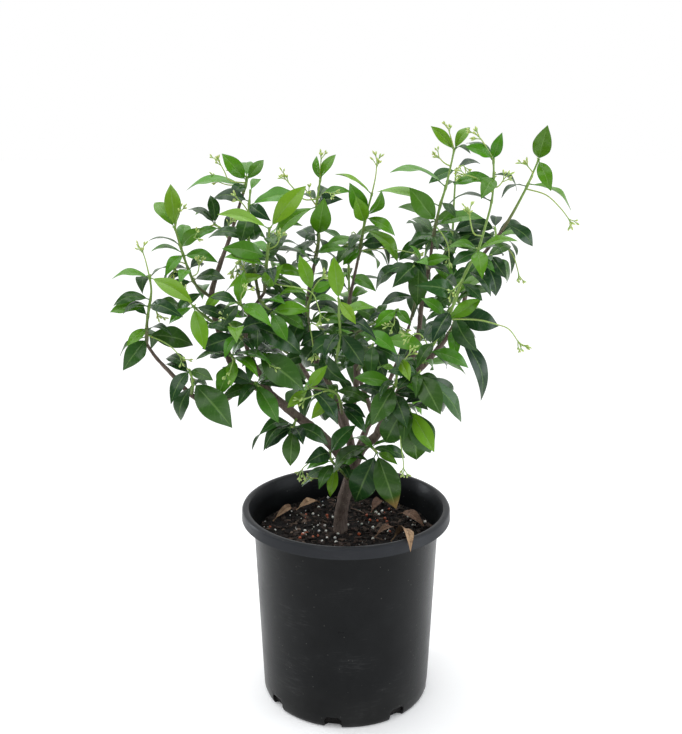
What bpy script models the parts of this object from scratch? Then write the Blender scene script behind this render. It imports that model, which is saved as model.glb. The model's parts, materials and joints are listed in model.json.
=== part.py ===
"""A potted star jasmine: a black nursery pot, potting soil, a woody frame of branches and its leafy stems.

Metres, +Z up. The origin is the centre of the pot's flat base, and the plant is seen from -Y.
"""

import math
import random

import bmesh
import bpy
from mathutils import Vector
from mathutils.bvhtree import BVHTree

MM = 0.001
GAP = 0.3 * MM  # between pieces that touch

# Pot
POT_HEIGHT = 201 * MM
RIM_RADIUS = 105 * MM
RIM_BAND = 11 * MM
RIM_INNER = 97.5 * MM
WALL_TOP_RADIUS = 93.2 * MM
WALL_BASE_RADIUS = 85.7 * MM
WALL = 2.2 * MM
FLOOR = 2.6 * MM
BASE_BEVEL = 5 * MM
RIM_STEP = 5 * MM
POT_SIDES = 36
NOTCH_COUNT = 8
NOTCH_WIDTH = 17 * MM
NOTCH_HEIGHT = 12 * MM
NOTCH_DEPTH = 15 * MM
NOTCH_TURN = math.radians(-98.5)
NOTCH_CORNER = 3 * MM
EDGE = 1 * MM

# Soil
SOIL_TOP = 171 * MM
SOIL_BUMP = 1.1 * MM
SOIL_SPOKES = 18
SOIL_RINGS = 4
TRUNK_HOLE = 9.4 * MM
HOLE_DEPTH = 80 * MM
PRILL_COUNT = 10
PRILL_RADIUS = 1.9 * MM
PRILL_SPREAD = 78 * MM
PRILL_FROM_TRUNK = 16 * MM

# Leaves
BLADE = 0.75 * MM
PETIOLE_HALF = 0.7 * MM
CLEARANCE = 0.3 * MM  # kept round a blade on each face
LEAF_RATIO = {"new": 0.42, "young": 0.45, "mature": 0.48}  # breadth for its length
LEAF_FOLD = {"new": math.radians(20), "young": math.radians(14), "mature": math.radians(9)}
LEAF_ARCH = {"new": 0.08, "young": 0.11, "mature": 0.13}
LEAF_BROADEST = 0.85  # below 1 the broadest place is nearer the root
LEAF_FULLNESS = 0.8
BROAD = 1.25  # a leaf seen broad side on is this much wider
SMALL_LEAF = 27 * MM
LARGE_HALF = 11 * MM
STATIONS = ((0.45,), (0.3, 0.68), (0.22, 0.52, 0.8))  # of a small, a middling and a large leaf
ROOT_LEFT_OUT = 0.42  # share of the blade's first stretch that may meet its own node
LEAF_SHARES = (1.0, 0.85, 0.7)
NUDGES = (0, 4, 8, 12, 17, 23, 30)
NUDGE_TURNS = 8
ROLLS = (0, 22, -22, 45, -45)

# Stems
WOOD_STEPS = 1  # pieces of line between two places
STEM_STEPS = 1
SHORTEST = 0.1 * MM
FOOT_CORNERS = 8  # round a stem's foot, where its distance from the wood is tested
FOOT_ROOM = 1.1
THICK = 4 * MM  # a branch that is thicker at its foot has more sides
STEM_FOOT = 1.5 * MM
STEM_TIP = 1.0 * MM
STEM_ROD = "_rod"
ROOT_FROM_END = 1.6 * MM
STALK = 0.75 * MM
BUD = 1.4 * MM
BUD_LENGTH = 7 * MM
REAR_LIFT = 0.12
DEAD_FOLD = math.radians(28)
DEAD_ARCH = 0.16
DROP_FROM = 80 * MM
WELD = 0.00001
SHARP = math.radians(35)

# The plant is set out on an upright board through the pot's axis, as the eye sees it.
# A place is (across, height, depth behind the board), in millimetres.
EYE = Vector((0.0, -0.898, 0.582))

# Woody branches: name, radius at foot and tip in millimetres, places
BRANCHES = [
    ("trunk", 8.6, 6.6, [(-6, 122, 0), (-6, 145, 0), (-6, 168, 0), (-4, 196, 2), (3, 225, 4),
                         (9, 248, 5)]),
    ("right", 5.6, 2.4, [(7, 241, 4), (16, 260, -4), (30, 273, -14), (37, 289, -24),
                         (50, 308, -38), (64, 328, -50), (74, 348, -58)]),
    ("right_rear", 3.8, 1.8, [(37, 288, -23), (48, 310, -5), (60, 340, 8), (69, 372, 14),
                              (72, 405, 16), (78, 440, 16), (81, 466, 14)]),
    ("far_right", 3.2, 1.7, [(54, 325, 2), (75, 345, -5), (98, 375, -5), (111, 402, -2),
                             (115, 422, 0), (122, 443, 2), (134, 460, 0), (146, 476, -2)]),
    ("left", 5.6, 1.8, [(5, 240, 4), (-10, 258, -8), (-28, 277, -18), (-48, 293, -28),
                        (-75, 316, -38), (-100, 330, -44), (-110, 344, -44), (-116, 360, -38),
                        (-124, 385, -28), (-129, 412, -18), (-121, 440, -8), (-110, 468, 2),
                        (-101, 495, 10), (-96, 510, 14)]),
    ("far_left", 3.2, 1.8, [(-98, 329, -44), (-118, 311, -52), (-136, 307, -56),
                            (-152, 315, -58), (-170, 336, -58), (-184, 352, -56),
                            (-193, 366, -54)]),
    ("left_inner", 3.0, 1.9, [(-73, 315, -37), (-84, 336, -44), (-93, 353, -48),
                              (-97, 368, -50), (-96, 383, -50), (-91, 398, -50),
                              (-83, 410, -50), (-78, 417, -50)]),
    ("centre_left", 4.6, 2.0, [(7, 243, 5), (4, 268, 10), (-4, 295, 6), (-17, 328, 0),
                               (-30, 352, -5), (-37, 385, -8), (-36, 415, -8), (-30, 445, -8)]),
    ("centre", 3.5, 1.8, [(-2, 288, 7), (8, 310, 20), (10, 340, 22), (6, 375, 20),
                          (3, 405, 16), (6, 425, 12), (11, 448, 10)]),
    ("rear_left", 3.6, 1.8, [(3, 274, 10), (-14, 300, 28), (-38, 335, 48), (-58, 378, 62)]),
    ("rear_right", 3.8, 1.8, [(9, 247, 5), (18, 275, 22), (34, 310, 44), (50, 350, 62),
                              (62, 390, 72)]),
    ("rear_middle", 3.0, 1.7, [(27, 294, 34), (14, 330, 58), (4, 374, 76)]),
]

# Leafy stems: name, branch that carries it, places, leaves, bud sprays.
# A leaf is (place along the stem, across, height and further depth of its tip, how far it faces
# the eye rather than the sky, age). A spray is (place along the stem, its places).
NEW, YOUNG, MATURE = "new", "young", "mature"
STEMS = [
    ("far_left_stem", "far_left",
     [(-193, 366, -54), (-192, 385, -56), (-189, 402, -56), (-186, 418, -54), (-187, 433, -52)],
     [(4, -223, 434, -8, 0.35, YOUNG), (4, -158, 438, 22, 0.05, MATURE),
      (3.9, -147, 408, -20, 0.6, NEW), (4, -196, 424, 28, 0.2, MATURE),
      (2.1, -227, 398, -5, 0.55, YOUNG), (2.1, -152, 402, 18, 0.35, MATURE),
      (0.4, -222, 356, -10, 0.15, YOUNG), (0.3, -216, 343, -22, 0.9, MATURE),
      (0.5, -147, 368, 6, 0.75, MATURE)],
     [(0.5, [(-178, 369, -64), (-168, 362, -68), (-160, 352, -70)]),
      (4, [(-190, 448, -50), (-193, 458, -50)]),
      (2.1, [(-184, 402, -62), (-181, 396, -64)])]),
    ("left_tall_stem", "left",
     [(-129, 412, -18), (-143, 424, -22), (-150, 440, -24), (-156, 460, -24), (-161, 479, -24)],
     [(4, -163, 519, 4, 1, NEW), (4, -179, 504, 18, 0.6, YOUNG),
      (3.1, -186, 468, -6, 0.08, MATURE), (3, -150, 484, 25, 0.7, YOUNG),
      (3, -135, 478, -12, 0.7, YOUNG), (2.6, -124, 450, -12, 0.6, YOUNG),
      (2, -176, 432, 16, 0.3, MATURE), (1.3, -116, 432, -14, 0.5, MATURE)],
     [(2.2, [(-158, 446, -34), (-163, 441, -36)]),
      (1.5, [(-141, 436, -34), (-139, 446, -38)])]),
    ("left_fork_stem", "left",
     [(-110, 468, 2), (-117, 477, 14), (-124, 482, 22)],
     [(2, -147, 499, 4, 0.3, MATURE), (2, -137, 499, 18, 0.1, YOUNG),
      (2, -126, 509, 6, 0.05, MATURE), (1.2, -145, 469, -12, 0.5, YOUNG),
      (0.9, -98, 491, 22, 0.4, MATURE)],
     [(2, [(-130, 479, 14), (-138, 474, 12)])]),
    ("top_left_stem", "left",
     [(-96, 510, 14), (-93, 519, 13), (-92, 526, 12)],
     [(1.4, -114, 546, -10, 0.9, YOUNG), (1.4, -76, 541, 8, 0.8, YOUNG),
      (0.8, -107, 509, -24, 0.6, MATURE), (0.7, -150, 516, 8, 0.25, YOUNG),
      (1.9, -92, 541, 30, 0.5, YOUNG)],
     [(1.1, [(-108, 522, 2), (-113, 531, 0), (-118, 540, 0)]),
      (0.9, [(-110, 518, 22), (-121, 522, 24)])]),
    ("pale_stem", "left_inner",
     [(-83, 410, -50), (-86, 430, -40), (-89, 450, -32), (-92, 470, -26), (-91, 495, -22),
      (-89, 514, -20)],
     [(4.2, -41, 509, 8, 0.45, YOUNG), (4.2, -74, 488, -20, 0.2, MATURE),
      (4.4, -124, 509, 2, 0.55, MATURE), (3.9, -99, 465, -16, 1, MATURE),
      (3.8, -84, 464, 8, 0.8, MATURE), (2.2, -104, 454, 8, 0.3, MATURE),
      (5, -80, 525, 20, 0.4, YOUNG)],
     [(2.3, [(-100, 450, -44), (-107, 438, -46)])]),
    ("left_light_stem", "left_inner",
     [(-78, 417, -50), (-76, 440, -54), (-74, 458, -56), (-72, 479, -56)],
     [(3, -120, 493, -4, 0.4, NEW), (3, -38, 518, 4, 0.75, NEW),
      (1.6, -114, 461, -14, 0.75, YOUNG), (1.9, -30, 447, 12, 0.12, MATURE),
      (1.9, -57, 440, 20, 0.5, MATURE), (0.3, -65, 439, -22, 0.9, YOUNG),
      (0.7, -112, 424, -8, 0.6, NEW), (0.8, -38, 436, 10, 0.5, YOUNG)],
     [(0.5, [(-62, 424, -64), (-48, 422, -70), (-33, 417, -74), (-27, 404, -76),
             (-24, 393, -76)])]),
    ("centre_left_stem", "centre_left",
     [(-30, 445, -8), (-26, 468, -8), (-28, 488, -10), (-27, 505, -8), (-24, 524, -4)],
     [(4, -10, 546, 4, 0.4, YOUNG), (4, -26, 544, 6, 0.1, YOUNG),
      (3, 4, 514, 4, 0.4, YOUNG), (2.9, -40, 512, 20, 0.5, MATURE),
      (3, -17, 517, 24, 0.6, MATURE), (2.7, -9, 507, -16, 0.7, MATURE),
      (1.2, -21, 504, -24, 1, YOUNG), (1.1, -38, 470, -18, 0.3, MATURE),
      (2.6, -70, 467, -6, 0.35, YOUNG), (0.4, -4, 461, -12, 0.6, YOUNG),
      (0.4, -58, 457, 12, 0.25, MATURE)],
     [(3, [(-20, 511, -16), (-14, 510, -20)]), (2.6, [(-33, 506, -20), (-35, 511, -22)])]),
    ("front_pale_stem", "centre_left",
     [(-17, 328, 0), (-10, 350, -40), (-6, 376, -66), (-7, 395, -76), (-7, 411, -80)],
     [(4, -12, 451, -4, 0.9, NEW), (4, 9, 387, -18, 0.8, NEW),
      (3, 30, 404, 16, 0.4, YOUNG), (3, -34, 398, 16, 0.5, MATURE),
      (2.1, 17, 345, -10, 0.9, MATURE), (2, -34, 358, -6, 0.8, MATURE)],
     []),
    ("front_left_stem", "centre_left",
     [(-37, 385, -8), (-37, 402, -38), (-32, 419, -60)],
     [(2, -44, 452, -4, 0.9, NEW), (2, -13, 427, -10, 0.7, YOUNG),
      (1.6, -62, 420, -14, 0.5, YOUNG), (1.2, -66, 429, 2, 0.4, MATURE),
      (1, -12, 434, 24, 0.5, MATURE)],
     []),
    ("centre_stem", "centre",
     [(11, 448, 10), (14, 466, 8), (18, 488, 6), (24, 511, 4)],
     [(3, -11, 529, 0, 0.2, NEW), (2, 4, 518, -12, 0.95, YOUNG),
      (2.1, 27, 514, -18, 0.9, YOUNG), (1.8, 9, 507, -28, 1, NEW),
      (2, 46, 474, -10, 0.6, YOUNG), (1.5, 52, 451, -8, 0.35, YOUNG),
      (0.8, 37, 467, -10, 0.6, MATURE), (0.5, 42, 449, 8, 0.08, MATURE),
      (1, -20, 462, -8, 0.35, YOUNG), (0.6, -3, 444, -18, 0.7, YOUNG)],
     [(3, [(27, 526, 2), (28, 539, 2)]), (1, [(6, 475, 2), (5, 466, 0)])]),
    ("right_tall_stem", "right_rear",
     [(81, 466, 14), (84, 484, 12), (88, 502, 12), (92, 516, 12), (96, 535, 12), (99, 551, 12)],
     [(5, 77, 571, -4, 0.7, NEW), (5, 112, 572, 6, 0.6, YOUNG),
      (4.9, 112, 552, -16, 0.3, MATURE), (3, 42, 535, -4, 0.15, YOUNG),
      (3, 101, 521, 20, 0.2, MATURE), (2, 102, 489, -14, 0.4, MATURE),
      (1, 56, 514, -8, 1, YOUNG), (1.8, 28, 513, 10, 0.35, NEW),
      (0.8, 128, 489, -6, 0.45, YOUNG), (0.5, 112, 470, 6, 0.12, MATURE),
      (0.3, 58, 465, -8, 0.4, MATURE)],
     [(5, [(95, 562, 4), (93, 568, 0)]),
      (0.8, [(91, 471, 0), (96, 460, -4), (97, 446, -6)])]),
    ("right_front_stem", "right",
     [(74, 348, -58), (80, 360, -62), (89, 375, -68), (97, 391, -74), (104, 410, -78),
      (111, 431, -80), (120, 450, -80), (124, 457, -80), (130, 480, -76), (135, 503, -72),
      (136, 524, -70), (135, 543, -70)],
     [(11, 109, 553, -10, 0.6, YOUNG), (11, 141, 563, -12, 0.8, YOUNG),
      (10.8, 110, 558, 18, 0.3, MATURE), (10, 99, 519, -6, 0.5, YOUNG),
      (10, 126, 508, -26, 0.8, YOUNG), (10.2, 161, 517, 6, 0.3, MATURE),
      (9, 91, 505, 6, 0.1, MATURE), (7, 99, 465, -10, 0.45, YOUNG),
      (7, 128, 436, -28, 0.9, YOUNG), (7, 148, 459, 14, 0.1, MATURE),
      (6.8, 100, 443, -10, 0.6, MATURE), (3, 129, 411, -4, 1, NEW),
      (3, 72, 412, -2, 0.5, YOUNG), (1, 120, 345, -8, 0.6, YOUNG),
      (0.9, 38, 373, -6, 0.6, YOUNG)],
     [(3, [(115, 391, -84), (130, 390, -90), (145, 386, -94), (157, 381, -96),
           (168, 366, -96)]),
      (1, [(77, 369, -74), (70, 377, -78), (60, 374, -80)]),
      (9.6, [(141, 517, -82), (146, 524, -84)]),
      (11, [(124, 558, -78), (119, 563, -80)]),
      (7.6, [(119, 474, -92), (114, 494, -94)])]),
    ("far_right_stem", "far_right",
     [(146, 476, -2), (155, 492, -4), (163, 508, -6), (168, 519, -6), (177, 542, -8)],
     [(4, 183, 571, -24, 0.9, YOUNG), (4, 189, 515, -18, 0.8, YOUNG),
      (3, 212, 497, 4, 0.2, YOUNG), (2.8, 143, 512, -10, 0.06, MATURE),
      (0.4, 177, 463, -6, 0.6, MATURE)],
     [(2.6, [(185, 509, -16), (199, 497, -20), (209, 485, -22)])]),
    ("right_thin_stem", "right_rear",
     [(78, 440, 16), (92, 453, 34), (99, 472, 46), (100, 502, 54), (101, 533, 58)],
     [(4, 123, 541, 4, 0.3, MATURE), (4, 76, 521, -6, 0.6, MATURE),
      (2, 125, 484, 16, 0.5, MATURE), (1.5, 66, 470, 20, 0.4, MATURE)],
     [(4, [(107, 536, 52), (110, 532, 50)])]),
    ("right_dark_stem", "far_right",
     [(122, 443, 2), (130, 449, -12), (137, 453, -22)],
     [(2, 150, 433, -16, 1, MATURE), (1.4, 158, 428, 12, 0.5, MATURE),
      (1, 145, 414, -6, 0.5, MATURE), (1.2, 112, 428, -22, 0.7, MATURE)],
     []),
    ("right_upper_stem", "far_right",
     [(134, 460, 0), (140, 470, 16), (139, 479, 30)],
     [(1, 112, 466, -4, 0.7, MATURE), (1.8, 115, 484, 0, 0.8, MATURE),
      (2, 140, 491, 20, 0.8, MATURE)],
     [(0.9, [(150, 461, 4), (158, 451, 0), (164, 433, -4)])]),
    ("right_mid_stem", "far_right",
     [(98, 375, -5), (103, 382, -28), (104, 396, -42)],
     [(1, 140, 311, -12, 0.3, MATURE), (2, 123, 360, -18, 0.9, MATURE),
      (2, 147, 385, -6, 0.9, MATURE), (1.9, 88, 365, -4, 0.9, MATURE)],
     []),
    ("right_big_stem", "right",
     [(64, 328, -50), (68, 334, -66), (71, 338, -74)],
     [(2, 93, 296, -24, 0.9, MATURE), (1.7, 115, 287, 12, 0.5, MATURE),
      (1.2, 107, 300, 26, 0.7, MATURE), (1.6, 44, 341, -14, 0.7, MATURE)],
     []),
    ("right_low_stem", "right",
     [(50, 308, -38), (58, 305, -52), (63, 300, -60)],
     [(2, 88, 256, -18, 0.9, NEW), (1.6, 91, 265, 8, 0.9, MATURE),
      (1.2, 73, 243, -4, 0.7, MATURE), (1, 38, 264, 10, 0.9, MATURE)],
     [(1, [(54, 272, -66), (57, 248, -70), (58, 236, -70)])]),
    ("front_mid_stem", "right",
     [(37, 289, -24), (42, 308, -48), (48, 325, -66), (50, 342, -76), (52, 355, -80)],
     [(4, 62, 330, -24, 0.8, NEW), (4, 14, 381, 6, 0.4, YOUNG),
      (2, 8, 333, -8, 0.6, YOUNG), (2, 26, 286, -22, 0.9, MATURE),
      (3.2, 78, 352, 14, 0.5, YOUNG)],
     []),
    ("low_front_stem", "right",
     [(16, 260, -4), (24, 262, -24), (31, 255, -38)],
     [(1, -14, 237, -26, 0.85, MATURE), (2, 8, 200, -14, 0.95, MATURE),
      (2, 51, 196, -24, 0.9, YOUNG)],
     []),
    ("low_left_stem", "trunk",
     [(3, 225, 4), (-6, 238, -16), (-14, 246, -26), (-16, 256, -30)],
     [(1.5, -16, 208, -14, 0.8, NEW), (2, -40, 240, -4, 0.5, YOUNG),
      (3, -36, 248, -26, 0.8, MATURE), (2.9, 8, 284, -4, 0.6, MATURE)],
     [(2.2, [(-30, 248, -38), (-42, 240, -42), (-46, 233, -44)]),
      (1, [(-22, 229, -28), (-37, 228, -34)])]),
    ("left_under_stem", "left",
     [(-48, 293, -28), (-51, 286, -38), (-53, 280, -46)],
     [(2, -80, 259, -10, 0.5, MATURE), (1.6, -79, 272, 12, 0.6, MATURE),
      (2, -56, 241, -12, 0.8, MATURE), (1.2, -97, 263, 10, 0.1, MATURE),
      (1.5, -18, 268, -12, 0.6, MATURE)],
     []),
    ("left_front_stem", "left",
     [(-75, 316, -38), (-84, 323, -50), (-90, 327, -56)],
     [(2, -67, 289, -16, 0.8, YOUNG), (1.7, -57, 342, -20, 0.5, YOUNG),
      (2, -120, 343, 10, 0.4, MATURE)],
     []),
    ("left_hanging_stem", "far_left",
     [(-152, 315, -58), (-150, 328, -68), (-153, 341, -74)],
     [(1, -114, 284, -20, 0.9, MATURE), (2, -130, 330, -12, 0.7, MATURE),
      (0.8, -168, 289, -8, 0.4, MATURE), (2, -176, 356, 18, 0.4, MATURE)],
     []),
    ("left_bright_stem", "left",
     [(-110, 344, -44), (-109, 350, -56), (-112, 356, -62)],
     [(1, -126, 314, -16, 0.8, YOUNG), (0.8, -122, 318, 22, 0.6, YOUNG),
      (2, -146, 352, -12, 0.6, MATURE)],
     [(1.5, [(-110, 350, -74), (-114, 336, -78)])]),
    ("left_dark_stem", "left_inner",
     [(-97, 368, -50), (-103, 374, -60), (-107, 378, -66)],
     [(1, -140, 362, -4, 0.8, MATURE), (2, -136, 386, 8, 0.5, MATURE),
      (1.8, -74, 389, -12, 0.6, MATURE)],
     []),
    ("left_mid_stem", "left",
     [(-124, 385, -28), (-136, 394, -44), (-147, 404, -54)],
     [(2, -137, 361, -22, 0.9, NEW), (2, -171, 387, -4, 0.5, YOUNG),
      (1.2, -116, 419, 4, 0.6, NEW), (1, -150, 377, 10, 0.5, MATURE)],
     []),
    ("left_centre_stem", "left_inner",
     [(-91, 398, -50), (-98, 403, -60), (-104, 407, -64)],
     [(2, -129, 414, -4, 0.5, MATURE), (1.7, -120, 385, -12, 0.7, MATURE),
      (2, -98, 436, -6, 0.6, YOUNG)],
     [(1.5, [(-100, 415, -74), (-96, 420, -78)])]),
    ("inner_upper_stem", "left_inner",
     [(-83, 410, -50), (-77, 403, -60), (-71, 397, -66)],
     [(2, -37, 402, -4, 0.7, YOUNG), (2, -57, 367, -8, 0.8, YOUNG),
      (1.6, -52, 418, 4, 0.5, MATURE)],
     []),
    ("inner_mid_stem", "left_inner",
     [(-96, 383, -50), (-90, 384, -62), (-86, 383, -68)],
     [(1.4, -43, 361, -12, 0.7, MATURE), (2, -66, 402, 6, 0.6, MATURE)],
     []),
    ("inner_low_stem", "left_inner",
     [(-93, 353, -48), (-88, 356, -62), (-84, 357, -70)],
     [(1.4, -42, 322, -20, 0.85, MATURE), (2, -50, 350, 12, 0.6, MATURE)],
     []),
    ("centre_bright_stem", "centre_left",
     [(-4, 295, 6), (-6, 309, -30), (-11, 318, -50), (-28, 322, -62), (-38, 322, -68)],
     [(4, -20, 344, -12, 0.8, NEW), (4, -58, 302, -12, 0.8, NEW),
      (2, -34, 291, -20, 0.9, NEW), (1.5, -29, 289, 12, 0.8, MATURE),
      (1, 20, 316, -16, 0.7, MATURE)],
     [(2.4, [(-26, 317, -76), (-42, 310, -80)])]),
    ("centre_dark_stem", "centre_left",
     [(-30, 352, -5), (-24, 365, -28), (-19, 380, -38)],
     [(2, -44, 365, -12, 0.9, MATURE), (2, 6, 366, 6, 0.9, MATURE),
      (1, -6, 326, -20, 0.9, MATURE), (1.4, -46, 342, 8, 0.7, MATURE)],
     [(2, [(-34, 387, -54), (-33, 372, -60), (-31, 357, -62)])]),
    ("centre_low_stem", "centre",
     [(10, 340, 22), (18, 352, -4), (26, 366, -22)],
     [(2, 38, 333, -16, 0.9, MATURE), (1.4, 29, 324, -22, 0.9, MATURE),
      (2, 52, 376, -10, 0.6, MATURE), (1, -8, 346, 12, 0.7, MATURE)],
     []),
    ("centre_right_stem", "centre",
     [(6, 375, 20), (24, 386, 0), (40, 396, -14), (50, 401, -20)],
     [(3, 28, 385, -16, 0.7, YOUNG), (3, 61, 387, -16, 0.9, YOUNG),
      (2, 50, 376, -16, 0.8, MATURE), (1.2, 12, 402, -22, 0.7, MATURE),
      (1.4, 38, 408, 14, 0.3, MATURE)],
     [(2.6, [(46, 386, -34), (42, 384, -38)])]),
    ("centre_upper_stem", "right_rear",
     [(78, 440, 16), (69, 445, -6), (62, 441, -18)],
     [(1.2, 47, 427, -24, 0.8, MATURE), (2, 38, 438, 0, 0.6, MATURE),
      (1, 60, 462, -14, 0.5, YOUNG), (1, 68, 405, -12, 0.8, MATURE),
      (2, 24, 424, 14, 0.4, MATURE)],
     []),
    ("mid_dark_stem", "far_right",
     [(111, 402, -2), (104, 414, 12), (98, 429, 20)],
     [(2, 80, 427, -22, 0.7, MATURE), (2, 124, 440, 4, 0.5, MATURE),
      (1, 82, 402, -8, 0.7, MATURE), (2, 96, 458, 4, 0.6, MATURE),
      (1.2, 132, 414, 14, 0.6, MATURE)],
     []),
]

# Stems on the far side follow a rule: name, branch that carries it, share along the branch,
# heading in degrees from +X towards the back, rise in degrees, length in millimetres, pairs
REAR_STEMS = [
    ("rear_left_top_stem", "rear_left", 1.0, 125, 68, 88, 4),
    ("rear_left_side_stem", "rear_left", 0.72, 165, 35, 76, 3),
    ("rear_left_low_stem", "rear_left", 0.45, 130, 10, 62, 3),
    ("rear_middle_top_stem", "rear_middle", 1.0, 95, 72, 86, 4),
    ("rear_middle_low_stem", "rear_middle", 0.55, 95, 15, 58, 2),
    ("rear_right_top_stem", "rear_right", 1.0, 55, 66, 90, 4),
    ("rear_right_side_stem", "rear_right", 0.75, 20, 35, 76, 3),
    ("rear_right_low_stem", "rear_right", 0.5, 48, 8, 62, 2),
]
REAR_LEAF = 46 * MM
REAR_SIZES = (0.82, 1.1)
REAR_SPREAD = math.radians(62)
REAR_FACING = (0.7, 0.45, 0.3)  # to the sky, away from the middle, and along the stem
SEED = 11

# Dead leaves on the soil, in millimetres from the pot's base: name, foot, tip, facing, breadth
DEAD_LEAVES = [
    ("dead_leaf_front", (45, -30, 178), (61, -97, 206), (0.3, 0.2, 1), 0.62),
    ("dead_leaf_left", (-53, 46, 176), (-27, 66, 180), (0.2, -0.3, 1), 0.9),
    ("dead_leaf_left_edge", (-76, 20, 176), (-58, 56, 178), (0.5, -0.2, 1), 0.7),
    ("dead_leaf_right", (58, 34, 176), (79, 4, 178), (-0.3, -0.2, 1), 0.9),
    ("dead_leaf_rear", (26, 40, 176), (40, 74, 178), (0, -0.4, 1), 0.8),
    ("dead_leaf_middle", (28, -30, 176), (52, -4, 176), (0, -0.2, 1), 0.8),
]


def on_board(place):
    """The point that the eye sees against the board at (across, height), depth behind it."""
    across, height, depth = place
    board = Vector((across, 0.0, height)) * MM
    return EYE + (board - EYE) * (1 + depth * MM / -EYE.y)


def smooth(points, per_span):
    """A Catmull-Rom line through the points."""
    ends = [points[0] * 2 - points[1], *points, points[-1] * 2 - points[-2]]
    line = []
    for i in range(1, len(ends) - 2):
        a, b, c, d = ends[i - 1 : i + 3]
        for k in range(per_span):
            t = k / per_span
            bend = (c - a) * t + (2 * a - 5 * b + 4 * c - d) * t**2 + (3 * b - a - 3 * c + d) * t**3
            line.append(0.5 * (2 * b + bend))
    line.append(points[-1].copy())
    return line


def point_at(line, distance):
    """The point at a distance along a line."""
    for a, b in zip(line, line[1:]):
        step = (b - a).length
        if distance <= step:
            return a.lerp(b, distance / step)
        distance -= step
    return line[-1].copy()


def length_of(line):
    return sum((b - a).length for a, b in zip(line, line[1:]))


def distance_to(line, place):
    """How far along a smooth stem line a place such as 2.5 of its points is."""
    step = min(place * STEM_STEPS, len(line) - 1)
    whole = int(step)
    walked = length_of(line[: whole + 1])
    if step > whole:
        walked += (line[whole + 1] - line[whole]).length * (step - whole)
    return walked


def stretch(line, start, end):
    """The part of a line between two distances along it."""
    cut = [point_at(line, start)]
    walked = 0.0
    for a, b in zip(line, line[1:]):
        walked += (b - a).length
        if start + SHORTEST < walked < end - SHORTEST:
            cut.append(b.copy())
    cut.append(point_at(line, end))
    return cut


def taper(count, foot, tip):
    return [foot + (tip - foot) * i / (count - 1) for i in range(count)]


def clear_of_wood(line, wood):
    """How far along a stem its foot has left the branches, with a gap."""
    way = (line[1] - line[0]).normalized()
    side = way.orthogonal().normalized()
    over = way.cross(side)
    turns = [2 * math.pi * k / FOOT_CORNERS for k in range(FOOT_CORNERS)]
    ring = [(side * math.cos(t) + over * math.sin(t)) * STEM_FOOT for t in turns]
    foot = [Vector(), *[v * FOOT_ROOM for v in ring], *[v + way * BLADE for v in ring]]
    distance = 0.0
    while any(is_near(wood, point_at(line, distance) + corner) for corner in foot):
        distance += SHORTEST
    return distance


def is_near(wood, point):
    """Whether a point is inside the wood, or within a gap of it."""
    nearest, normal, _face, distance = wood.find_nearest(point)
    return distance < GAP or (point - nearest).dot(normal) < 0


def material(name, colour, roughness):
    made = bpy.data.materials.new(name)
    made.use_nodes = True
    shader = made.node_tree.nodes["Principled BSDF"]
    shader.inputs["Base Color"].default_value = (*colour, 1.0)
    shader.inputs["Roughness"].default_value = roughness
    shader.inputs["Metallic"].default_value = 0.0
    made.diffuse_color = (*colour, 1.0)
    return made


def new_collection(name):
    made = bpy.data.collections.new(name)
    bpy.context.scene.collection.children.link(made)
    return made


def new_object(name, mesh, collection):
    made = bpy.data.objects.new(name, mesh)
    collection.objects.link(made)
    return made


def evaluated_mesh(obj):
    """What the modifiers of an object, or the bevel of a curve, make of it."""
    graph = bpy.context.evaluated_depsgraph_get()
    return bpy.data.meshes.new_from_object(obj.evaluated_get(graph))


def welded(mesh):
    bm = bmesh.new()
    bm.from_mesh(mesh)
    bmesh.ops.remove_doubles(bm, verts=bm.verts, dist=WELD)
    bmesh.ops.recalc_face_normals(bm, faces=bm.faces)
    bm.to_mesh(mesh)
    bm.free()
    return mesh


def rod(name, line, radii, roundness, collection):
    """A tapering rod along a line, as a mesh."""
    curve = bpy.data.curves.new(name, "CURVE")
    curve.dimensions = "3D"
    curve.bevel_depth = 1.0
    curve.bevel_resolution = roundness
    curve.use_fill_caps = True
    spline = curve.splines.new("POLY")
    spline.points.add(len(line) - 1)
    for point, place, radius in zip(spline.points, line, radii):
        point.co = (*place, 1.0)
        point.radius = radius
    guide = new_object(name, curve, collection)
    mesh = welded(evaluated_mesh(guide))
    bpy.data.objects.remove(guide)
    return new_object(name, mesh, collection)


def turned(name, profile, sides, collection):
    """A profile of (radius, height) turned about Z, as a mesh."""
    mesh = bpy.data.meshes.new(name)
    edges = [(i, i + 1) for i in range(len(profile) - 1)]
    mesh.from_pydata([(r, 0.0, z) for r, z in profile], edges, [])
    outline = new_object(name, mesh, collection)
    screw = outline.modifiers.new("Turn", "SCREW")
    screw.steps = sides
    screw.render_steps = sides
    screw.use_merge_vertices = True
    screw.merge_threshold = WELD
    solid = welded(evaluated_mesh(outline))
    bpy.data.objects.remove(outline)
    return new_object(name, solid, collection)


def is_whole(mesh):
    """Whether a mesh is one closed body."""
    bm = bmesh.new()
    bm.from_mesh(mesh)
    closed = all(len(edge.link_faces) == 2 for edge in bm.edges)
    found = {bm.verts[:1][0]} if bm.verts[:1] else set()
    to_visit = list(found)
    while to_visit:
        vert = to_visit.pop()
        for edge in vert.link_edges:
            other = edge.other_vert(vert)
            if other not in found:
                found.add(other)
                to_visit.append(other)
    whole = closed and len(found) == len(bm.verts) and len(found) > 0
    bm.free()
    return whole


def applied(obj):
    """Makes an object's modifiers part of its mesh."""
    mesh = evaluated_mesh(obj)
    obj.modifiers.clear()
    obj.data = mesh
    return obj


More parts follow.
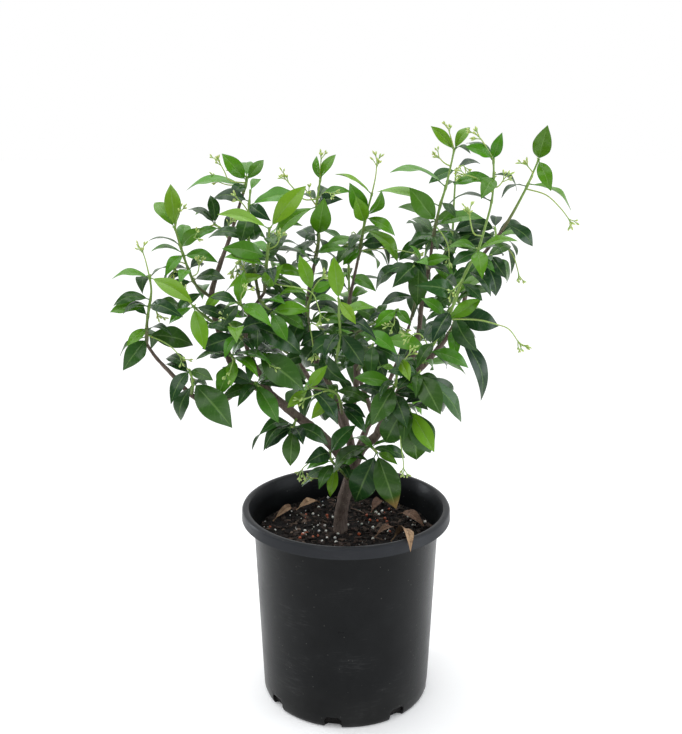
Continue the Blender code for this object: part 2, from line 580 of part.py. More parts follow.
def joined(name, base, pieces, collection):
    """The base and a collection of pieces as one solid, made by a Boolean union that is then applied."""
    for solver in ("MANIFOLD", "EXACT"):
        union = base.modifiers.new("Union", "BOOLEAN")
        union.operation = "UNION"
        union.solver = solver
        union.operand_type = "COLLECTION"
        union.collection = pieces
        mesh = evaluated_mesh(base)
        base.modifiers.remove(union)
        if is_whole(mesh):
            break
    for piece in list(pieces.objects):
        bpy.data.objects.remove(piece)
    bpy.data.collections.remove(pieces)
    bpy.data.objects.remove(base)
    mesh.name = name
    return new_object(name, mesh, collection)


class Leaf:
    """One leaf: where it is rooted, where its tip is, and which way its upper face looks."""

    def __init__(self, foot, tip, facing, age, ratio):
        self.foot = foot
        self.axis = (tip - foot).normalized()
        self.length = (tip - foot).length
        self.age = age
        self.up = (facing - self.axis * facing.dot(self.axis)).normalized()
        self.side = self.axis.cross(self.up)
        self.half = self.length * LEAF_RATIO[age] * ratio / 2
        self.arch = LEAF_ARCH[age]
        self.fold = LEAF_FOLD[age]

    def half_width(self, u):
        outline = math.sin(math.pi * u**LEAF_BROADEST) ** LEAF_FULLNESS if 0 < u < 1 else 0.0
        return max(PETIOLE_HALF, self.half * outline)

    def point(self, u, v):
        """The place at share u of the length, and v, from -1 to 1, across."""
        slope = self.arch * (4 - 8 * u)
        normal = (self.up - self.axis * slope).normalized()
        rise = self.arch * 4 * u * (1 - u)
        reach = self.half_width(u) * v
        centre = self.foot + (self.axis * u + self.up * rise) * self.length
        flat = self.side * reach * math.cos(self.fold)
        return centre + flat + normal * abs(reach) * math.sin(self.fold)

    def surface(self):
        """Points and triangles of the blade, from its root to its tip."""
        stations = STATIONS[(self.length > SMALL_LEAF) + (self.half > LARGE_HALF)]
        points = [self.point(0, 0)]
        for u in stations:
            points += [self.point(u, v) for v in (-1, 0, 1)]
        points.append(self.point(1, 0))
        faces = [(0, 2, 1), (0, 3, 2)]
        for a in range(1, 3 * len(stations) - 2, 3):
            faces += [(a, a + 1, a + 4), (a, a + 4, a + 3)]
            faces += [(a + 1, a + 2, a + 5), (a + 1, a + 5, a + 4)]
        last = 3 * len(stations) - 2
        faces += [(last, last + 1, last + 3), (last + 1, last + 2, last + 3)]
        return points, faces

    def sheets(self, thickness, rooted):
        """Both faces of the blade, thickness apart, without its root unless it is rooted."""
        points, faces = self.surface()
        if not rooted:
            points[0] = points[0].lerp(points[2], ROOT_LEFT_OUT)
        half = self.up * thickness / 2
        count = len(points)
        both = [p + half for p in points] + [p - half for p in points]
        return both, faces + [tuple(i + count for i in face) for face in faces]

    def solid(self, name, collection):
        """The blade as a closed sheet, made thick by Solidify."""
        points, faces = self.surface()
        mesh = bpy.data.meshes.new(name)
        mesh.from_pydata(points, [], faces)
        made = new_object(name, mesh, collection)
        sheet = made.modifiers.new("Thickness", "SOLIDIFY")
        sheet.thickness = BLADE
        sheet.offset = 0
        return made


class Space:
    """The room that is taken, so that a new leaf can be bent clear of it."""

    def __init__(self):
        self.taken = []

    def add(self, owner, points, faces):
        self.taken.append((owner, BVHTree.FromPolygons(points, faces), *box_of(points)))

    def add_mesh(self, owner, mesh):
        self.add(owner, *points_and_faces(mesh))

    def is_clear(self, owner, leaf):
        """Whether a leaf meets nothing but its own stem, and its own stem's leaves only at its root."""
        points, faces = leaf.sheets(BLADE + 2 * CLEARANCE, True)
        low, high = box_of(points)
        whole = BVHTree.FromPolygons(points, faces)
        past_root = BVHTree.FromPolygons(*leaf.sheets(BLADE + 2 * CLEARANCE, False))
        for other, taken, from_low, from_high in self.taken:
            if other == owner + STEM_ROD:
                continue
            if any(low[i] > from_high[i] or high[i] < from_low[i] for i in range(3)):
                continue
            if (past_root if other == owner else whole).overlap(taken):
                return False
        return True


def points_and_faces(mesh):
    return [v.co.copy() for v in mesh.vertices], [tuple(p.vertices) for p in mesh.polygons]


def box_of(points):
    low = [min(p[i] for p in points) for i in range(3)]
    high = [max(p[i] for p in points) for i in range(3)]
    return low, high


def tries():
    """Changes to a leaf in the order that they are tried: share of length, tip's shift and turn, roll."""
    for share in LEAF_SHARES:
        for nudge in NUDGES:
            for turn in range(NUDGE_TURNS if nudge else 1):
                for roll in ROLLS:
                    yield share, nudge * MM, 2 * math.pi * turn / NUDGE_TURNS, math.radians(roll)


def placed_leaf(space, owner, asked, ratio):
    """The leaf nearest to the one asked for that touches nothing, or None."""
    for share, nudge, angle, roll in tries():
        shift = (asked.side * math.cos(angle) + asked.up * math.sin(angle)) * nudge
        tip = (asked.axis * asked.length + shift).normalized() * asked.length * share
        facing = asked.up * math.cos(roll) + asked.side * math.sin(roll)
        leaf = Leaf(asked.foot, asked.foot + tip, facing, asked.age, ratio)
        if space.is_clear(owner, leaf):
            space.add(owner, *leaf.sheets(BLADE, True))
            return leaf
    return None


def facing_of(foot, share):
    """Which way a leaf looks: share 1 to the eye, share 0 to the sky."""
    return Vector((0, 0, 1)) * (1 - share) + (EYE - foot).normalized() * share


def pot_profile():
    """The pot's section as (radius, height), from the middle of its floor over the rim to its base."""
    slope = (WALL_TOP_RADIUS - WALL_BASE_RADIUS) / (POT_HEIGHT - RIM_BAND)
    ledge = POT_HEIGHT - RIM_BAND - RIM_STEP
    outer_ledge = WALL_BASE_RADIUS + slope * ledge
    return [
        (0.0, FLOOR),
        (WALL_BASE_RADIUS - WALL - BASE_BEVEL / 2, FLOOR),
        (WALL_BASE_RADIUS - WALL, FLOOR + BASE_BEVEL / 2),
        (outer_ledge - WALL, ledge),
        (RIM_INNER - EDGE, ledge + RIM_STEP),
        (RIM_INNER, POT_HEIGHT),
        (RIM_RADIUS - 2 * EDGE, POT_HEIGHT),
        (RIM_RADIUS, POT_HEIGHT - 2 * EDGE),
        (RIM_RADIUS, POT_HEIGHT - RIM_BAND),
        (RIM_RADIUS - WALL, POT_HEIGHT - RIM_BAND),
        (RIM_RADIUS - WALL, POT_HEIGHT - WALL - EDGE),
        (RIM_INNER + WALL - EDGE, ledge + RIM_STEP),
        (outer_ledge, ledge - EDGE),
        (WALL_BASE_RADIUS + slope * BASE_BEVEL, BASE_BEVEL),
        (WALL_BASE_RADIUS - BASE_BEVEL / 4, BASE_BEVEL / 4),
        (WALL_BASE_RADIUS - BASE_BEVEL / 2, 0.0),
        (0.0, 0.0),
    ]


def make_pot(collection, cutters):
    pot = turned("pot", pot_profile(), POT_SIDES, collection)
    notches = bpy.data.collections.new("notches")
    cutters.children.link(notches)
    for k in range(NOTCH_COUNT):
        angle = NOTCH_TURN + 2 * math.pi * k / NOTCH_COUNT
        add_notch(f"notch_{k + 1}", angle, notches)
    cut = pot.modifiers.new("Notches", "BOOLEAN")
    cut.operation = "DIFFERENCE"
    cut.operand_type = "COLLECTION"
    cut.collection = notches
    applied(pot)
    pot.data.shade_smooth()
    pot.data.set_sharp_from_angle(angle=SHARP)
    pot.data.materials.append(material("black_plastic", (0.017, 0.019, 0.021), 0.42))
    return pot


def add_notch(name, angle, collection):
    """A cutter for one drainage notch at the edge of the pot's base."""
    bm = bmesh.new()
    bmesh.ops.create_cube(bm, size=1.0)
    size = Vector((NOTCH_DEPTH, NOTCH_WIDTH, 2 * NOTCH_HEIGHT))
    bmesh.ops.scale(bm, vec=size, verts=bm.verts)
    mesh = bpy.data.meshes.new(name)
    bm.to_mesh(mesh)
    bm.free()
    cutter = new_object(name, mesh, collection)
    corners = cutter.modifiers.new("Corners", "BEVEL")
    corners.width = NOTCH_CORNER
    corners.segments = 1
    reach = WALL_BASE_RADIUS
    cutter.location = (reach * math.cos(angle), reach * math.sin(angle), 0.0)
    cutter.rotation_euler = (0, 0, angle)
    cutter.display_type = "WIRE"
    cutter.hide_render = True


def make_soil(collection, random_draw, trunk_foot):
    slope = (WALL_TOP_RADIUS - WALL_BASE_RADIUS) / (POT_HEIGHT - RIM_BAND)
    inner_base = WALL_BASE_RADIUS - WALL - GAP
    floor = FLOOR + GAP
    rings = [i * (inner_base + slope * SOIL_TOP - GAP) / SOIL_RINGS for i in range(SOIL_RINGS + 1)]
    profile = [
        *[(r, SOIL_TOP) for r in rings],
        (inner_base - GAP + slope * BASE_BEVEL, BASE_BEVEL),
        (inner_base - BASE_BEVEL / 2 - GAP, floor),
        (0.0, floor),
    ]
    base = turned("soil", profile, SOIL_SPOKES, collection)
    for vert in base.data.vertices:
        inside = math.hypot(vert.co.x, vert.co.y) < rings[-1] - GAP
        if inside and vert.co.z > SOIL_TOP - GAP:
            vert.co.z += random_draw.uniform(-SOIL_BUMP, SOIL_BUMP)
    prills = new_collection("prills")
    for k in range(PRILL_COUNT):
        add_prill(f"prill_{k + 1}", random_draw, trunk_foot, prills)
    soil = joined("soil", base, prills, collection)
    soil.data.materials.append(material("potting_mix", (0.045, 0.03, 0.022), 0.95))
    return soil


def add_prill(name, random_draw, trunk_foot, collection):
    """One ball of slow-release food, half sunk in the soil, nearer the front."""
    while True:
        x = random_draw.uniform(-PRILL_SPREAD, PRILL_SPREAD)
        y = random_draw.uniform(-PRILL_SPREAD, PRILL_SPREAD / 2)
        from_trunk = math.hypot(x - trunk_foot.x, y - trunk_foot.y)
        if math.hypot(x, y) < PRILL_SPREAD and from_trunk > PRILL_FROM_TRUNK:
            break
    bm = bmesh.new()
    bmesh.ops.create_uvsphere(bm, u_segments=4, v_segments=2, radius=PRILL_RADIUS)
    bmesh.ops.translate(bm, vec=Vector((x, y, SOIL_TOP + PRILL_RADIUS * 0.2)), verts=bm.verts)
    mesh = bpy.data.meshes.new(name)
    bm.to_mesh(mesh)
    bm.free()
    new_object(name, mesh, collection)


def cut_trunk_hole(soil, trunk_foot, cutters):
    bpy.ops.mesh.primitive_cylinder_add(vertices=16, radius=TRUNK_HOLE, depth=2 * HOLE_DEPTH)
    hole = bpy.context.active_object
    hole.name = "trunk_hole"
    for owner in list(hole.users_collection):
        owner.objects.unlink(hole)
    cutters.objects.link(hole)
    hole.location = (trunk_foot.x, trunk_foot.y, trunk_foot.z - GAP + HOLE_DEPTH)
    hole.display_type = "WIRE"
    hole.hide_render = True
    cut = soil.modifiers.new("Hole", "BOOLEAN")
    cut.operation = "DIFFERENCE"
    cut.object = hole
    applied(soil)


def make_wood(collection):
    """The trunk and its branches as one solid, and the line of each branch."""
    lines = {}
    branches = new_collection("branches")
    for name, foot, tip, places in BRANCHES:
        line = smooth([on_board(p) for p in places], WOOD_STEPS)
        lines[name] = line
        is_trunk = name == "trunk"
        roundness = 2 if is_trunk else int(foot * MM > THICK)
        owner = collection if is_trunk else branches
        made = rod(name, line, taper(len(line), foot * MM, tip * MM), roundness, owner)
        if is_trunk:
            base = made
    trunk = joined("trunk", base, branches, collection)
    trunk.data.materials.append(material("bark", (0.075, 0.05, 0.035), 0.85))
    return trunk, lines


def stem_lines(wood):
    """Each leafy stem's name with its line, the distance at which it leaves the wood, and its plan."""
    stems = {}
    for name, _branch, places, leaves, sprays in STEMS:
        line = smooth([on_board(p) for p in places], STEM_STEPS)
        asked = [asked_leaf(line, *leaf) for leaf in leaves]
        routes = [(distance_to(line, at), [on_board(p) for p in route]) for at, route in sprays]
        stems[name] = [line, clear_of_wood(line, wood), asked, routes]
    return stems


def asked_leaf(line, place, across, height, deeper, share, age):
    """A leaf's distance along its stem, its tip, where it looks, its age and its breadth."""
    distance = distance_to(line, place)
    foot = point_at(line, distance)
    foot_depth = (foot.y - EYE.y) / -EYE.y
    tip = on_board((across, height, (foot_depth - 1) * -EYE.y / MM + deeper))
    ratio = 1 + (BROAD - 1) * max(0.0, share - 0.5) * 2
    return distance, tip, facing_of(foot, share), age, ratio


def rear_stem(draw, wood_line, share, heading, rise, length, pairs):
    """A stem on the far side, with pairs of leaves that turn a quarter round it at each node."""
    foot = point_at(wood_line, length_of(wood_line) * share)
    heading, rise = math.radians(heading), math.radians(rise)
    flat = Vector((math.cos(heading), math.sin(heading), 0))
    way = flat * math.cos(rise) + Vector((0, 0, math.sin(rise)))
    lift = Vector((0, 0, length * MM * REAR_LIFT))
    half = foot + way * length * MM / 2
    stem = smooth([foot, half, foot + way * length * MM + lift], STEM_STEPS)
    across = flat.cross(Vector((0, 0, 1)))
    over = across.cross(way)
    to_sky, outward, onward = REAR_FACING
    asked = []
    for k in range(pairs):
        distance = length_of(stem) * (k + 1) / pairs
        for side in (-1, 1):
            spread = (across if k % 2 else over) * side
            aim = way * math.cos(REAR_SPREAD) + spread * math.sin(REAR_SPREAD)
            size = REAR_LEAF * draw.uniform(*REAR_SIZES)
            tip = point_at(stem, distance) + aim * size
            facing = Vector((0, 0, to_sky)) + flat * outward + way * onward
            age = YOUNG if k == pairs - 1 else MATURE
            asked.append((distance, tip, facing, age, 1.0))
    return stem, asked


def add_spray(name, root, route, collection):
    """A flower stalk that swells to a slim bud at its end."""
    if len(route) > 2:
        route = [route[len(route) // 2], route[-1]]
    way = (route[-1] - (route[-2] if len(route) > 1 else root)).normalized()
    line = [root, *route, route[-1] + way * BUD_LENGTH]
    radii = [STALK] * (len(line) - 2) + [BUD, STALK * 0.6]
    return rod(name, line, radii, 0, collection)


def stem_rods(name, line, leaves_wood, sprays, pieces, collection):
    """The stem past its gap and its sprays, as loose pieces that are joined later."""
    own = stretch(line, leaves_wood, length_of(line))
    base = rod(name, own, taper(len(own), STEM_FOOT, STEM_TIP), 0, collection)
    made = [base]
    for k, (distance, route) in enumerate(sprays):
        distance = max(distance, leaves_wood + ROOT_FROM_END)
        root = point_at(line, min(distance, length_of(line) - ROOT_FROM_END))
        made.append(add_spray(f"{name}_spray_{k + 1}", root, route, pieces))
    return base, made


def lie_on(mesh, ground):
    """Lowers a mesh on to the ground, a gap above it."""
    for vert in mesh.vertices:
        vert.co.z += DROP_FROM
    leaf = BVHTree.FromPolygons(*points_and_faces(mesh))
    drops = [DROP_FROM * 2]
    for tree, points in ground:
        for vert in mesh.vertices:
            hit = tree.ray_cast(vert.co, Vector((0, 0, -1)))
            if hit[0]:
                drops.append(hit[3])
        for point in points:
            hit = leaf.ray_cast(point, Vector((0, 0, 1)))
            if hit[0]:
                drops.append(hit[3])
    for vert in mesh.vertices:
        vert.co.z -= min(drops)
    while meets(mesh, ground):
        for vert in mesh.vertices:
            vert.co.z += SHORTEST
    for vert in mesh.vertices:
        vert.co.z += GAP


def meets(mesh, ground):
    tree = BVHTree.FromPolygons(*points_and_faces(mesh))
    return any(tree.overlap(other) for other, _points in ground)


def make_dead_leaf(name, foot, tip, facing, ratio, collection, ground):
    foot, tip = Vector(foot) * MM, Vector(tip) * MM
    leaf = Leaf(foot, tip, Vector(facing), MATURE, ratio)
    leaf.fold = DEAD_FOLD
    leaf.arch = DEAD_ARCH
    sheet = leaf.solid(name + "_sheet", collection)
    mesh = evaluated_mesh(sheet)
    bpy.data.objects.remove(sheet)
    lie_on(mesh, ground)
    made = new_object(name, mesh, collection)
    made.data.materials.append(material(name, (0.21, 0.13, 0.07), 0.8))
    return made


def ground_of(obj):
    points, faces = points_and_faces(evaluated_mesh(obj))
    return BVHTree.FromPolygons(points, faces), points


def plan_stems(wood, lines):
    stems = stem_lines(wood)
    draw = random.Random(SEED)
    for name, branch, *rule in REAR_STEMS:
        line, asked = rear_stem(draw, lines[branch], *rule)
        stems[name] = [line, clear_of_wood(line, wood), asked, []]
    return stems


def place_leaves(space, stems):
    """Every leaf in its place, the largest first, under its stem's name."""
    wanted = []
    for name, (line, leaves_wood, asked, _sprays) in stems.items():
        for distance, tip, facing, age, ratio in asked:
            distance = max(distance, leaves_wood + ROOT_FROM_END)
            foot = point_at(line, min(distance, length_of(line) - ROOT_FROM_END))
            wanted.append((name, Leaf(foot, tip, facing, age, ratio), ratio))
    rear = {row[0] for row in REAR_STEMS}
    wanted.sort(key=lambda row: (row[0] in rear, -row[1].length * row[2]))
    placed = {name: [] for name in stems}
    for name, asked, ratio in wanted:
        leaf = placed_leaf(space, name, asked, ratio)
        if leaf:
            placed[name].append(leaf)
    return placed


def main():
    for obj in list(bpy.data.objects):
        bpy.data.objects.remove(obj)
    plant = new_collection("potted_star_jasmine")
    cutters = new_collection("cutters")
    cutters.hide_render = True
    trunk, lines = make_wood(plant)
    trunk_foot = lines["trunk"][0]
    pot = make_pot(plant, cutters)
    soil = make_soil(plant, random.Random(SEED), trunk_foot)
    cut_trunk_hole(soil, trunk_foot, cutters)
    ground = [ground_of(pot), ground_of(soil)]
    for row in DEAD_LEAVES:
        make_dead_leaf(*row, plant, ground)

    wood, _points = ground_of(trunk)
    stems = plan_stems(wood, lines)
    space = Space()
    for obj in (pot, soil, trunk):
        space.add_mesh(obj.name, obj.data)
    rods = {}
    for name, (line, leaves_wood, _asked, sprays) in stems.items():
        pieces = new_collection(name + "_pieces")
        base, made = stem_rods(name, line, leaves_wood, sprays, pieces, plant)
        rods[name] = (base, pieces)
        for piece in made:
            space.add_mesh(name + STEM_ROD, piece.data)
    for name, leaves in place_leaves(space, stems).items():
        base, pieces = rods[name]
        for k, leaf in enumerate(leaves):
            leaf.solid(f"{name}_leaf_{k + 1}", pieces)
        stem = joined(name, base, pieces, plant)
        young = sum(leaf.age != MATURE for leaf in leaves) * 2 > len(leaves)
        colour = (0.13, 0.3, 0.04) if young else (0.03, 0.11, 0.03)
        stem.data.materials.append(material(name, colour, 0.4))


main()
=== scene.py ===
"""A potted star jasmine, dressed for the render: fine leaves, buds, bark, compost and pot on its frame.

Metres, +Z up. The origin is the centre of the pot's flat base, and the plant is seen from -Y.
"""

import json
import math
import random

import bmesh
import bpy
from mathutils import Euler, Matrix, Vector, noise
from mathutils.bvhtree import BVHTree

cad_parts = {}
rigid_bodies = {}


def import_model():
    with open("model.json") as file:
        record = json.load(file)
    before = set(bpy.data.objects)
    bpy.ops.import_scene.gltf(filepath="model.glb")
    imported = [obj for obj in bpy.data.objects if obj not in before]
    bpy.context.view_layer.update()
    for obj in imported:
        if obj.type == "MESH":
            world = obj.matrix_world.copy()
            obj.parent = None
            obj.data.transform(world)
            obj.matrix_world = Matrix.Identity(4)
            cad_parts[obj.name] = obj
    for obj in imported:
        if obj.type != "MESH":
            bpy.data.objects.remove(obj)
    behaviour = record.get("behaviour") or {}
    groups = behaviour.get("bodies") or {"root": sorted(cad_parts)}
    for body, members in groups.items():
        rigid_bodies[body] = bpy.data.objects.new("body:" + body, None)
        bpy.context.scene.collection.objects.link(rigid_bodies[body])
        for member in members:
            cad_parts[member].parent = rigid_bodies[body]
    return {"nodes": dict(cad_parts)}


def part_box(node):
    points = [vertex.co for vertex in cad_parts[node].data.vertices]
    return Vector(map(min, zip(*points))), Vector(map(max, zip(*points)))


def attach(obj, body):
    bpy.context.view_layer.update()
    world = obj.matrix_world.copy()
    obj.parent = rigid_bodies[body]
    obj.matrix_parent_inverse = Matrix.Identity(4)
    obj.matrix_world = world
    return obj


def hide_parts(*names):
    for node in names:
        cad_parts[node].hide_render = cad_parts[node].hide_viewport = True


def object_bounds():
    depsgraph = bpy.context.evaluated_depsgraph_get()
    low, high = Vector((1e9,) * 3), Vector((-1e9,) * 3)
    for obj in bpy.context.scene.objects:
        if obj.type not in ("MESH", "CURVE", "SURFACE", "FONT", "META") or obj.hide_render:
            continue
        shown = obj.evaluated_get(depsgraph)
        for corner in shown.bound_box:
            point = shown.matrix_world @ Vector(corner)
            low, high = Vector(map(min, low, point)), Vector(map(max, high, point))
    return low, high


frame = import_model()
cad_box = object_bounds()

MM = 0.001
GAP = 0.3 * MM  # between pieces that touch
UP = Vector((0, 0, 1))
SEED = 11
SHARP = math.radians(35)
WELD = 0.00001

# Pot
POT_HEIGHT = 201 * MM
RIM_RADIUS = 105 * MM
RIM_BAND = 11 * MM
RIM_INNER = 97.5 * MM
RIM_STEP = 5 * MM
WALL_TOP_RADIUS = 93.2 * MM
WALL_BASE_RADIUS = 85.7 * MM
WALL = 2.2 * MM
FLOOR = 2.6 * MM
BASE_BEVEL = 5 * MM
EDGE = 1 * MM
SOFT_EDGE = 0.7 * MM
POT_SIDES = 144
NOTCH_COUNT = 8
NOTCH_WIDTH = 17 * MM
NOTCH_HEIGHT = 12 * MM
NOTCH_DEPTH = 15 * MM
NOTCH_TURN = math.radians(-98.5)
NOTCH_CORNER = 3 * MM
LIP = POT_HEIGHT - RIM_BAND
SLOPE = (WALL_TOP_RADIUS - WALL_BASE_RADIUS) / LIP

# Compost, with sizes of its grains in millimetres
SOIL_TOP = 171 * MM
SOIL_REACH = 87.5 * MM
SOIL_RINGS = 44
SOIL_SPOKES = 120
SWELLS = ((60, 2.2), (190, 1.1))  # how close the compost's swells stand, and how high
SWELL_HEIGHT = 0.7
CRUMBS = 1100
CRUMB_RADII = (0.6, 2.2)
CRUMB_UNEVEN = (0.6, 1.4)
CRUMB_RISE = 0.3
CHIPS = 260
CHIP_RADII = ((1.6, 6), (1, 2.6), (0.4, 0.9))
CHIP_RISE = 0.8 * MM
DARKEST_CHIP, CHIP_TONES = 0.3, 0.7
JAGGED, WORN = 0.9, 0.7  # how uneven a lump is
LUMPS = 1.3  # how close its swells stand
FAR_APART = 50  # so that no two lumps are uneven alike
GRIT = 150
FIBRES = 90
FIBRE_LENGTHS = (8, 26)
FIBRE_RADII = (0.16, 0.42)
FIBRE_LIFTS = (0.6, 2.2)
FIBRE_PLACES = (0, 0.25, 0.5, 0.75, 1)
FIBRE_BEND = 0.5
FIBRE_SIDES = 5
FIBRE_STEPS = 3
FIBRE_INSIDE = 0.9  # share of the way to the pot
FIBRE_SPAN = 0.8  # share of its length that it reaches
PRILL_SHAPE = ((1.15, 1.75), 0.8, 1.0, 0.16)  # radii, how high it stands, how flat and how uneven
GRIT_SHAPE = ((0.35, 0.9), 1.0, 0.7, JAGGED)
TWIG_RADIUS = 0.75 * MM
TWIG_LIFT = 3.2 * MM
TWIG_SIDES = 6
TWIG_STEPS = 4
TWIG_LOOK = (1.0, 0.9, 1)  # how pale, which brown, and 1 for wood
ANY_WAY, NEARLY_FLAT = 3, 0.4  # radians of tilt

# Leaves as the solids have them, from which the fine ones take their places
BLADE = 0.75 * MM
PETIOLE_HALF = 0.7 * MM
CLEARANCE = 0.3 * MM  # kept round a blade on each face
LEAF_RATIO = {"new": 0.42, "young": 0.45, "mature": 0.48}  # breadth for its length
LEAF_FOLD = {"new": math.radians(20), "young": math.radians(14), "mature": math.radians(9)}
LEAF_ARCH = {"new": 0.08, "young": 0.11, "mature": 0.13}
LEAF_BROADEST = 0.85  # below 1 the broadest place is nearer the root
LEAF_FULLNESS = 0.8
BROAD = 1.25  # a leaf seen broad side on is this much wider
SMALL_LEAF = 27 * MM
LARGE_HALF = 11 * MM
STATIONS = ((0.45,), (0.3, 0.68), (0.22, 0.52, 0.8))  # of a small, a middling and a large leaf
ROOT_LEFT_OUT = 0.42  # share of the blade's first stretch that may meet its own node
LEAF_SHARES = (1.0, 0.85, 0.7)
NUDGES = (0, 4, 8, 12, 17, 23, 30)
NUDGE_TURNS = 8
ROLLS = (0, 22, -22, 45, -45)

# Stems as the solids have them
SHORTEST = 0.1 * MM
FOOT_CORNERS = 8  # round a stem's foot, where its distance from the wood is tested
FOOT_ROOM = 1.1
STEM_FOOT = 1.5 * MM
STEM_TIP = 1.0 * MM
STEM_ROD = "_rod"
ROOT_FROM_END = 1.6 * MM
STALK = 0.75 * MM
BUD = 1.4 * MM
BUD_LENGTH = 7 * MM
BUD_POINT = 0.6

# Fine leaves
ACROSS = (-1.0, -0.8, -0.52, -0.24, -0.05, 0.05, 0.24, 0.52, 0.8, 1.0)
LEAF_ROWS = 16
BLADE_FROM = 0.09  # share of the leaf that is stalk
SHEET = 0.34 * MM
BREADTH = {"new": 0.76, "young": 0.84, "mature": 0.88}
SLIM_LONGEST = {"right_mid_stem": 0.55, "right_big_stem": 0.65}  # breadth of the longest leaf of a stem
BROADEST = 1.1  # above 1 the broadest place is nearer the tip
FULLNESS = 0.8
POINTED = 0.3  # how much more pointed the tip is than the root
CURL = {"new": 0.35, "young": 0.8, "mature": 1.0}
CURLS_FROM = 0.5
TWISTS_ABOUT = 0.35
FLATTER = 0.35  # how much less the blade is folded at its margin
SWEEP = 0.12  # how far the margin lies back
WAVES = 2.4  # along a margin, in half turns
WAVES_RIGHT, WAVES_LEFT = 1.0, 1.9
CURLS = (0.1, 1.3)  # least and most of a random amount, as those that follow
RIPPLES = (0.04, 0.14)
DRY_RIPPLES = (0.08, 0.2)
TWISTS = (-0.5, 0.5)
MIDRIB_DEEP = 0.22 * MM
MIDRIB_REACH = 0.1
NEXT = 0.01  # a small step along the blade
STALK_HALF = 0.62 * MM
STALK_ROOTS = 3  # places on the stalk before the blade
UNDER_BLADE = (1.2, 2.6, 4.2)  # places under it, in lengths of stalk
STALK_RADII = (1.25, 1.0, 0.95, 0.8, 0.55, 0.25)
STALK_SIDES = 6
STALK_TONE = 0.8
TONE = {"new": (0.0, 0.16), "young": (0.24, 0.46), "mature": (0.62, 1.0)}
CHANCE = 0.9  # the most of a fresh leaf's random look; one at 1 has a brown tip
BROWNED_STEM = "low_front_stem"
BROWNED_BELOW = 230 * MM

# Smaller leaves that fill a stem out
MORE_BELOW = 470 * MM
MORE_ABOVE_SOIL = 40 * MM
MORE_LEAVES = 6
MORE_FOR = 90 * MM  # of stem
MORE_TRIES = 14
MORE_LENGTHS = (24 * MM, 44 * MM)
MORE_RISE = (-0.75, 0.45)
MORE_FACING = (0.1, 0.75)
MORE_RATIO = 0.9

# Fine stems and wood
LINE_STEPS = 6  # points of a smooth line between two places
STEM_STEP = 2.2 * MM
STEM_SIDES = 8
STEM_FINE_FOOT, STEM_FINE_TIP = STEM_FOOT * 1.02, STEM_TIP * 0.85
NODE_SWELL = 0.42 * MM
NODE_LENGTH = 1.8 * MM
LONG_STEM = 45 * MM
GREENEST_STEM = "right_front_stem"
GREEN_FROM_LONG, GREEN_FROM_SHORT, GREENEST_FROM, GREEN_TO = 0.3, 0.55, 0.7, 1.4
WOOD_STEPS = 5
WOOD_STEP = 3 * MM
WOOD_SIDES = 16
WOOD_TIP = 0.85
WOOD_UNEVEN = 0.05
TRUNK_FLARE, BRANCH_FLARE = 1.35, 1.18
BARK_VOXEL = 0.9 * MM
BARK_ROUGH = 0.35 * MM
BARK_SOFTER = 3  # passes
BARK_RIDGES = (420, 420, 90)
BARK_KNOBS = 130
RIDGE_SHARE = 0.6

# Buds, as shares of their length and radius, and their stalks
BUD_SHAPE = ((0, 0.45), (0.3, 0.42), (0.5, 0.8), (0.68, 1.0), (0.85, 0.75), (1, 0.12))
BUD_BEND = 0.12
BUD_SIDES = 5
BUD_LENGTHS = (3.6, 7)  # millimetres, as those that follow
BUD_RADII = (0.75, 1.05)
FORK_LENGTHS = (2.5, 5.5)
FORK_EVERY = 1.8
FORK_RADII = (0.52 * MM, 0.46 * MM, 0.5 * MM)
FORKS = (3, 4)
HEADS = (2, 3, 3)
STALK_STEP = 2.5 * MM
STALK_TAPER = 0.35
STALK_LOOK = (0.2, 0.1, 1.0)
FAN_TURN = 2.4
FAN_LEAN = (0.5, 1.1)
FORK_SPREAD, BUD_SPREAD = 0.75, 0.55
SIDE_BUD = (3.4 * MM, 0.7 * MM)
SIDE_RISE = 0.9

# Dry leaves
DEAD_ARCH = 0.16
OVER_RIM = 0.3 * MM
BENT_WITHIN = 0.55  # share of the length

# Slots of the materials on a stem and on the compost
LEAF_SLOT, STEM_SLOT, BUD_SLOT = range(3)
EARTH_SLOT, CHIP_SLOT, WHITE_SLOT, ORANGE_SLOT = range(4)

# Camera, from the photograph's own perspective, and the floor
EYE = Vector((0.0, -0.898, 0.582))
CAMERA_TILT = math.radians(75.13)
CAMERA_TURN = math.radians(0.32)
LENS = 46.84
SENSOR = 36.0
PHOTO_WIDTH = 682
PHOTO_HEIGHT = 734
FLOOR_REACH = 12.0

# Lights: name, place, aim, size, power, colour
LIGHTS = [
    ("top", (-0.3, -0.2, 2.5), (0, 0, 0.2), (3.4, 3.4), 70, (1.0, 1.0, 1.0)),
    ("left_strip", (-1.3, 0.5, 0.4), (0, 0, 0.15), (0.25, 1.4), 9, (0.9, 0.95, 1.0)),
    ("right_strip", (1.3, -0.35, 0.35), (0, 0, 0.12), (0.7, 1.2), 9, (0.9, 0.95, 1.0)),
]
FRONT_LIGHT = (0.3, 0.31, 0.33)
BACK_LIGHT = (1.0, 1.0, 1.0)

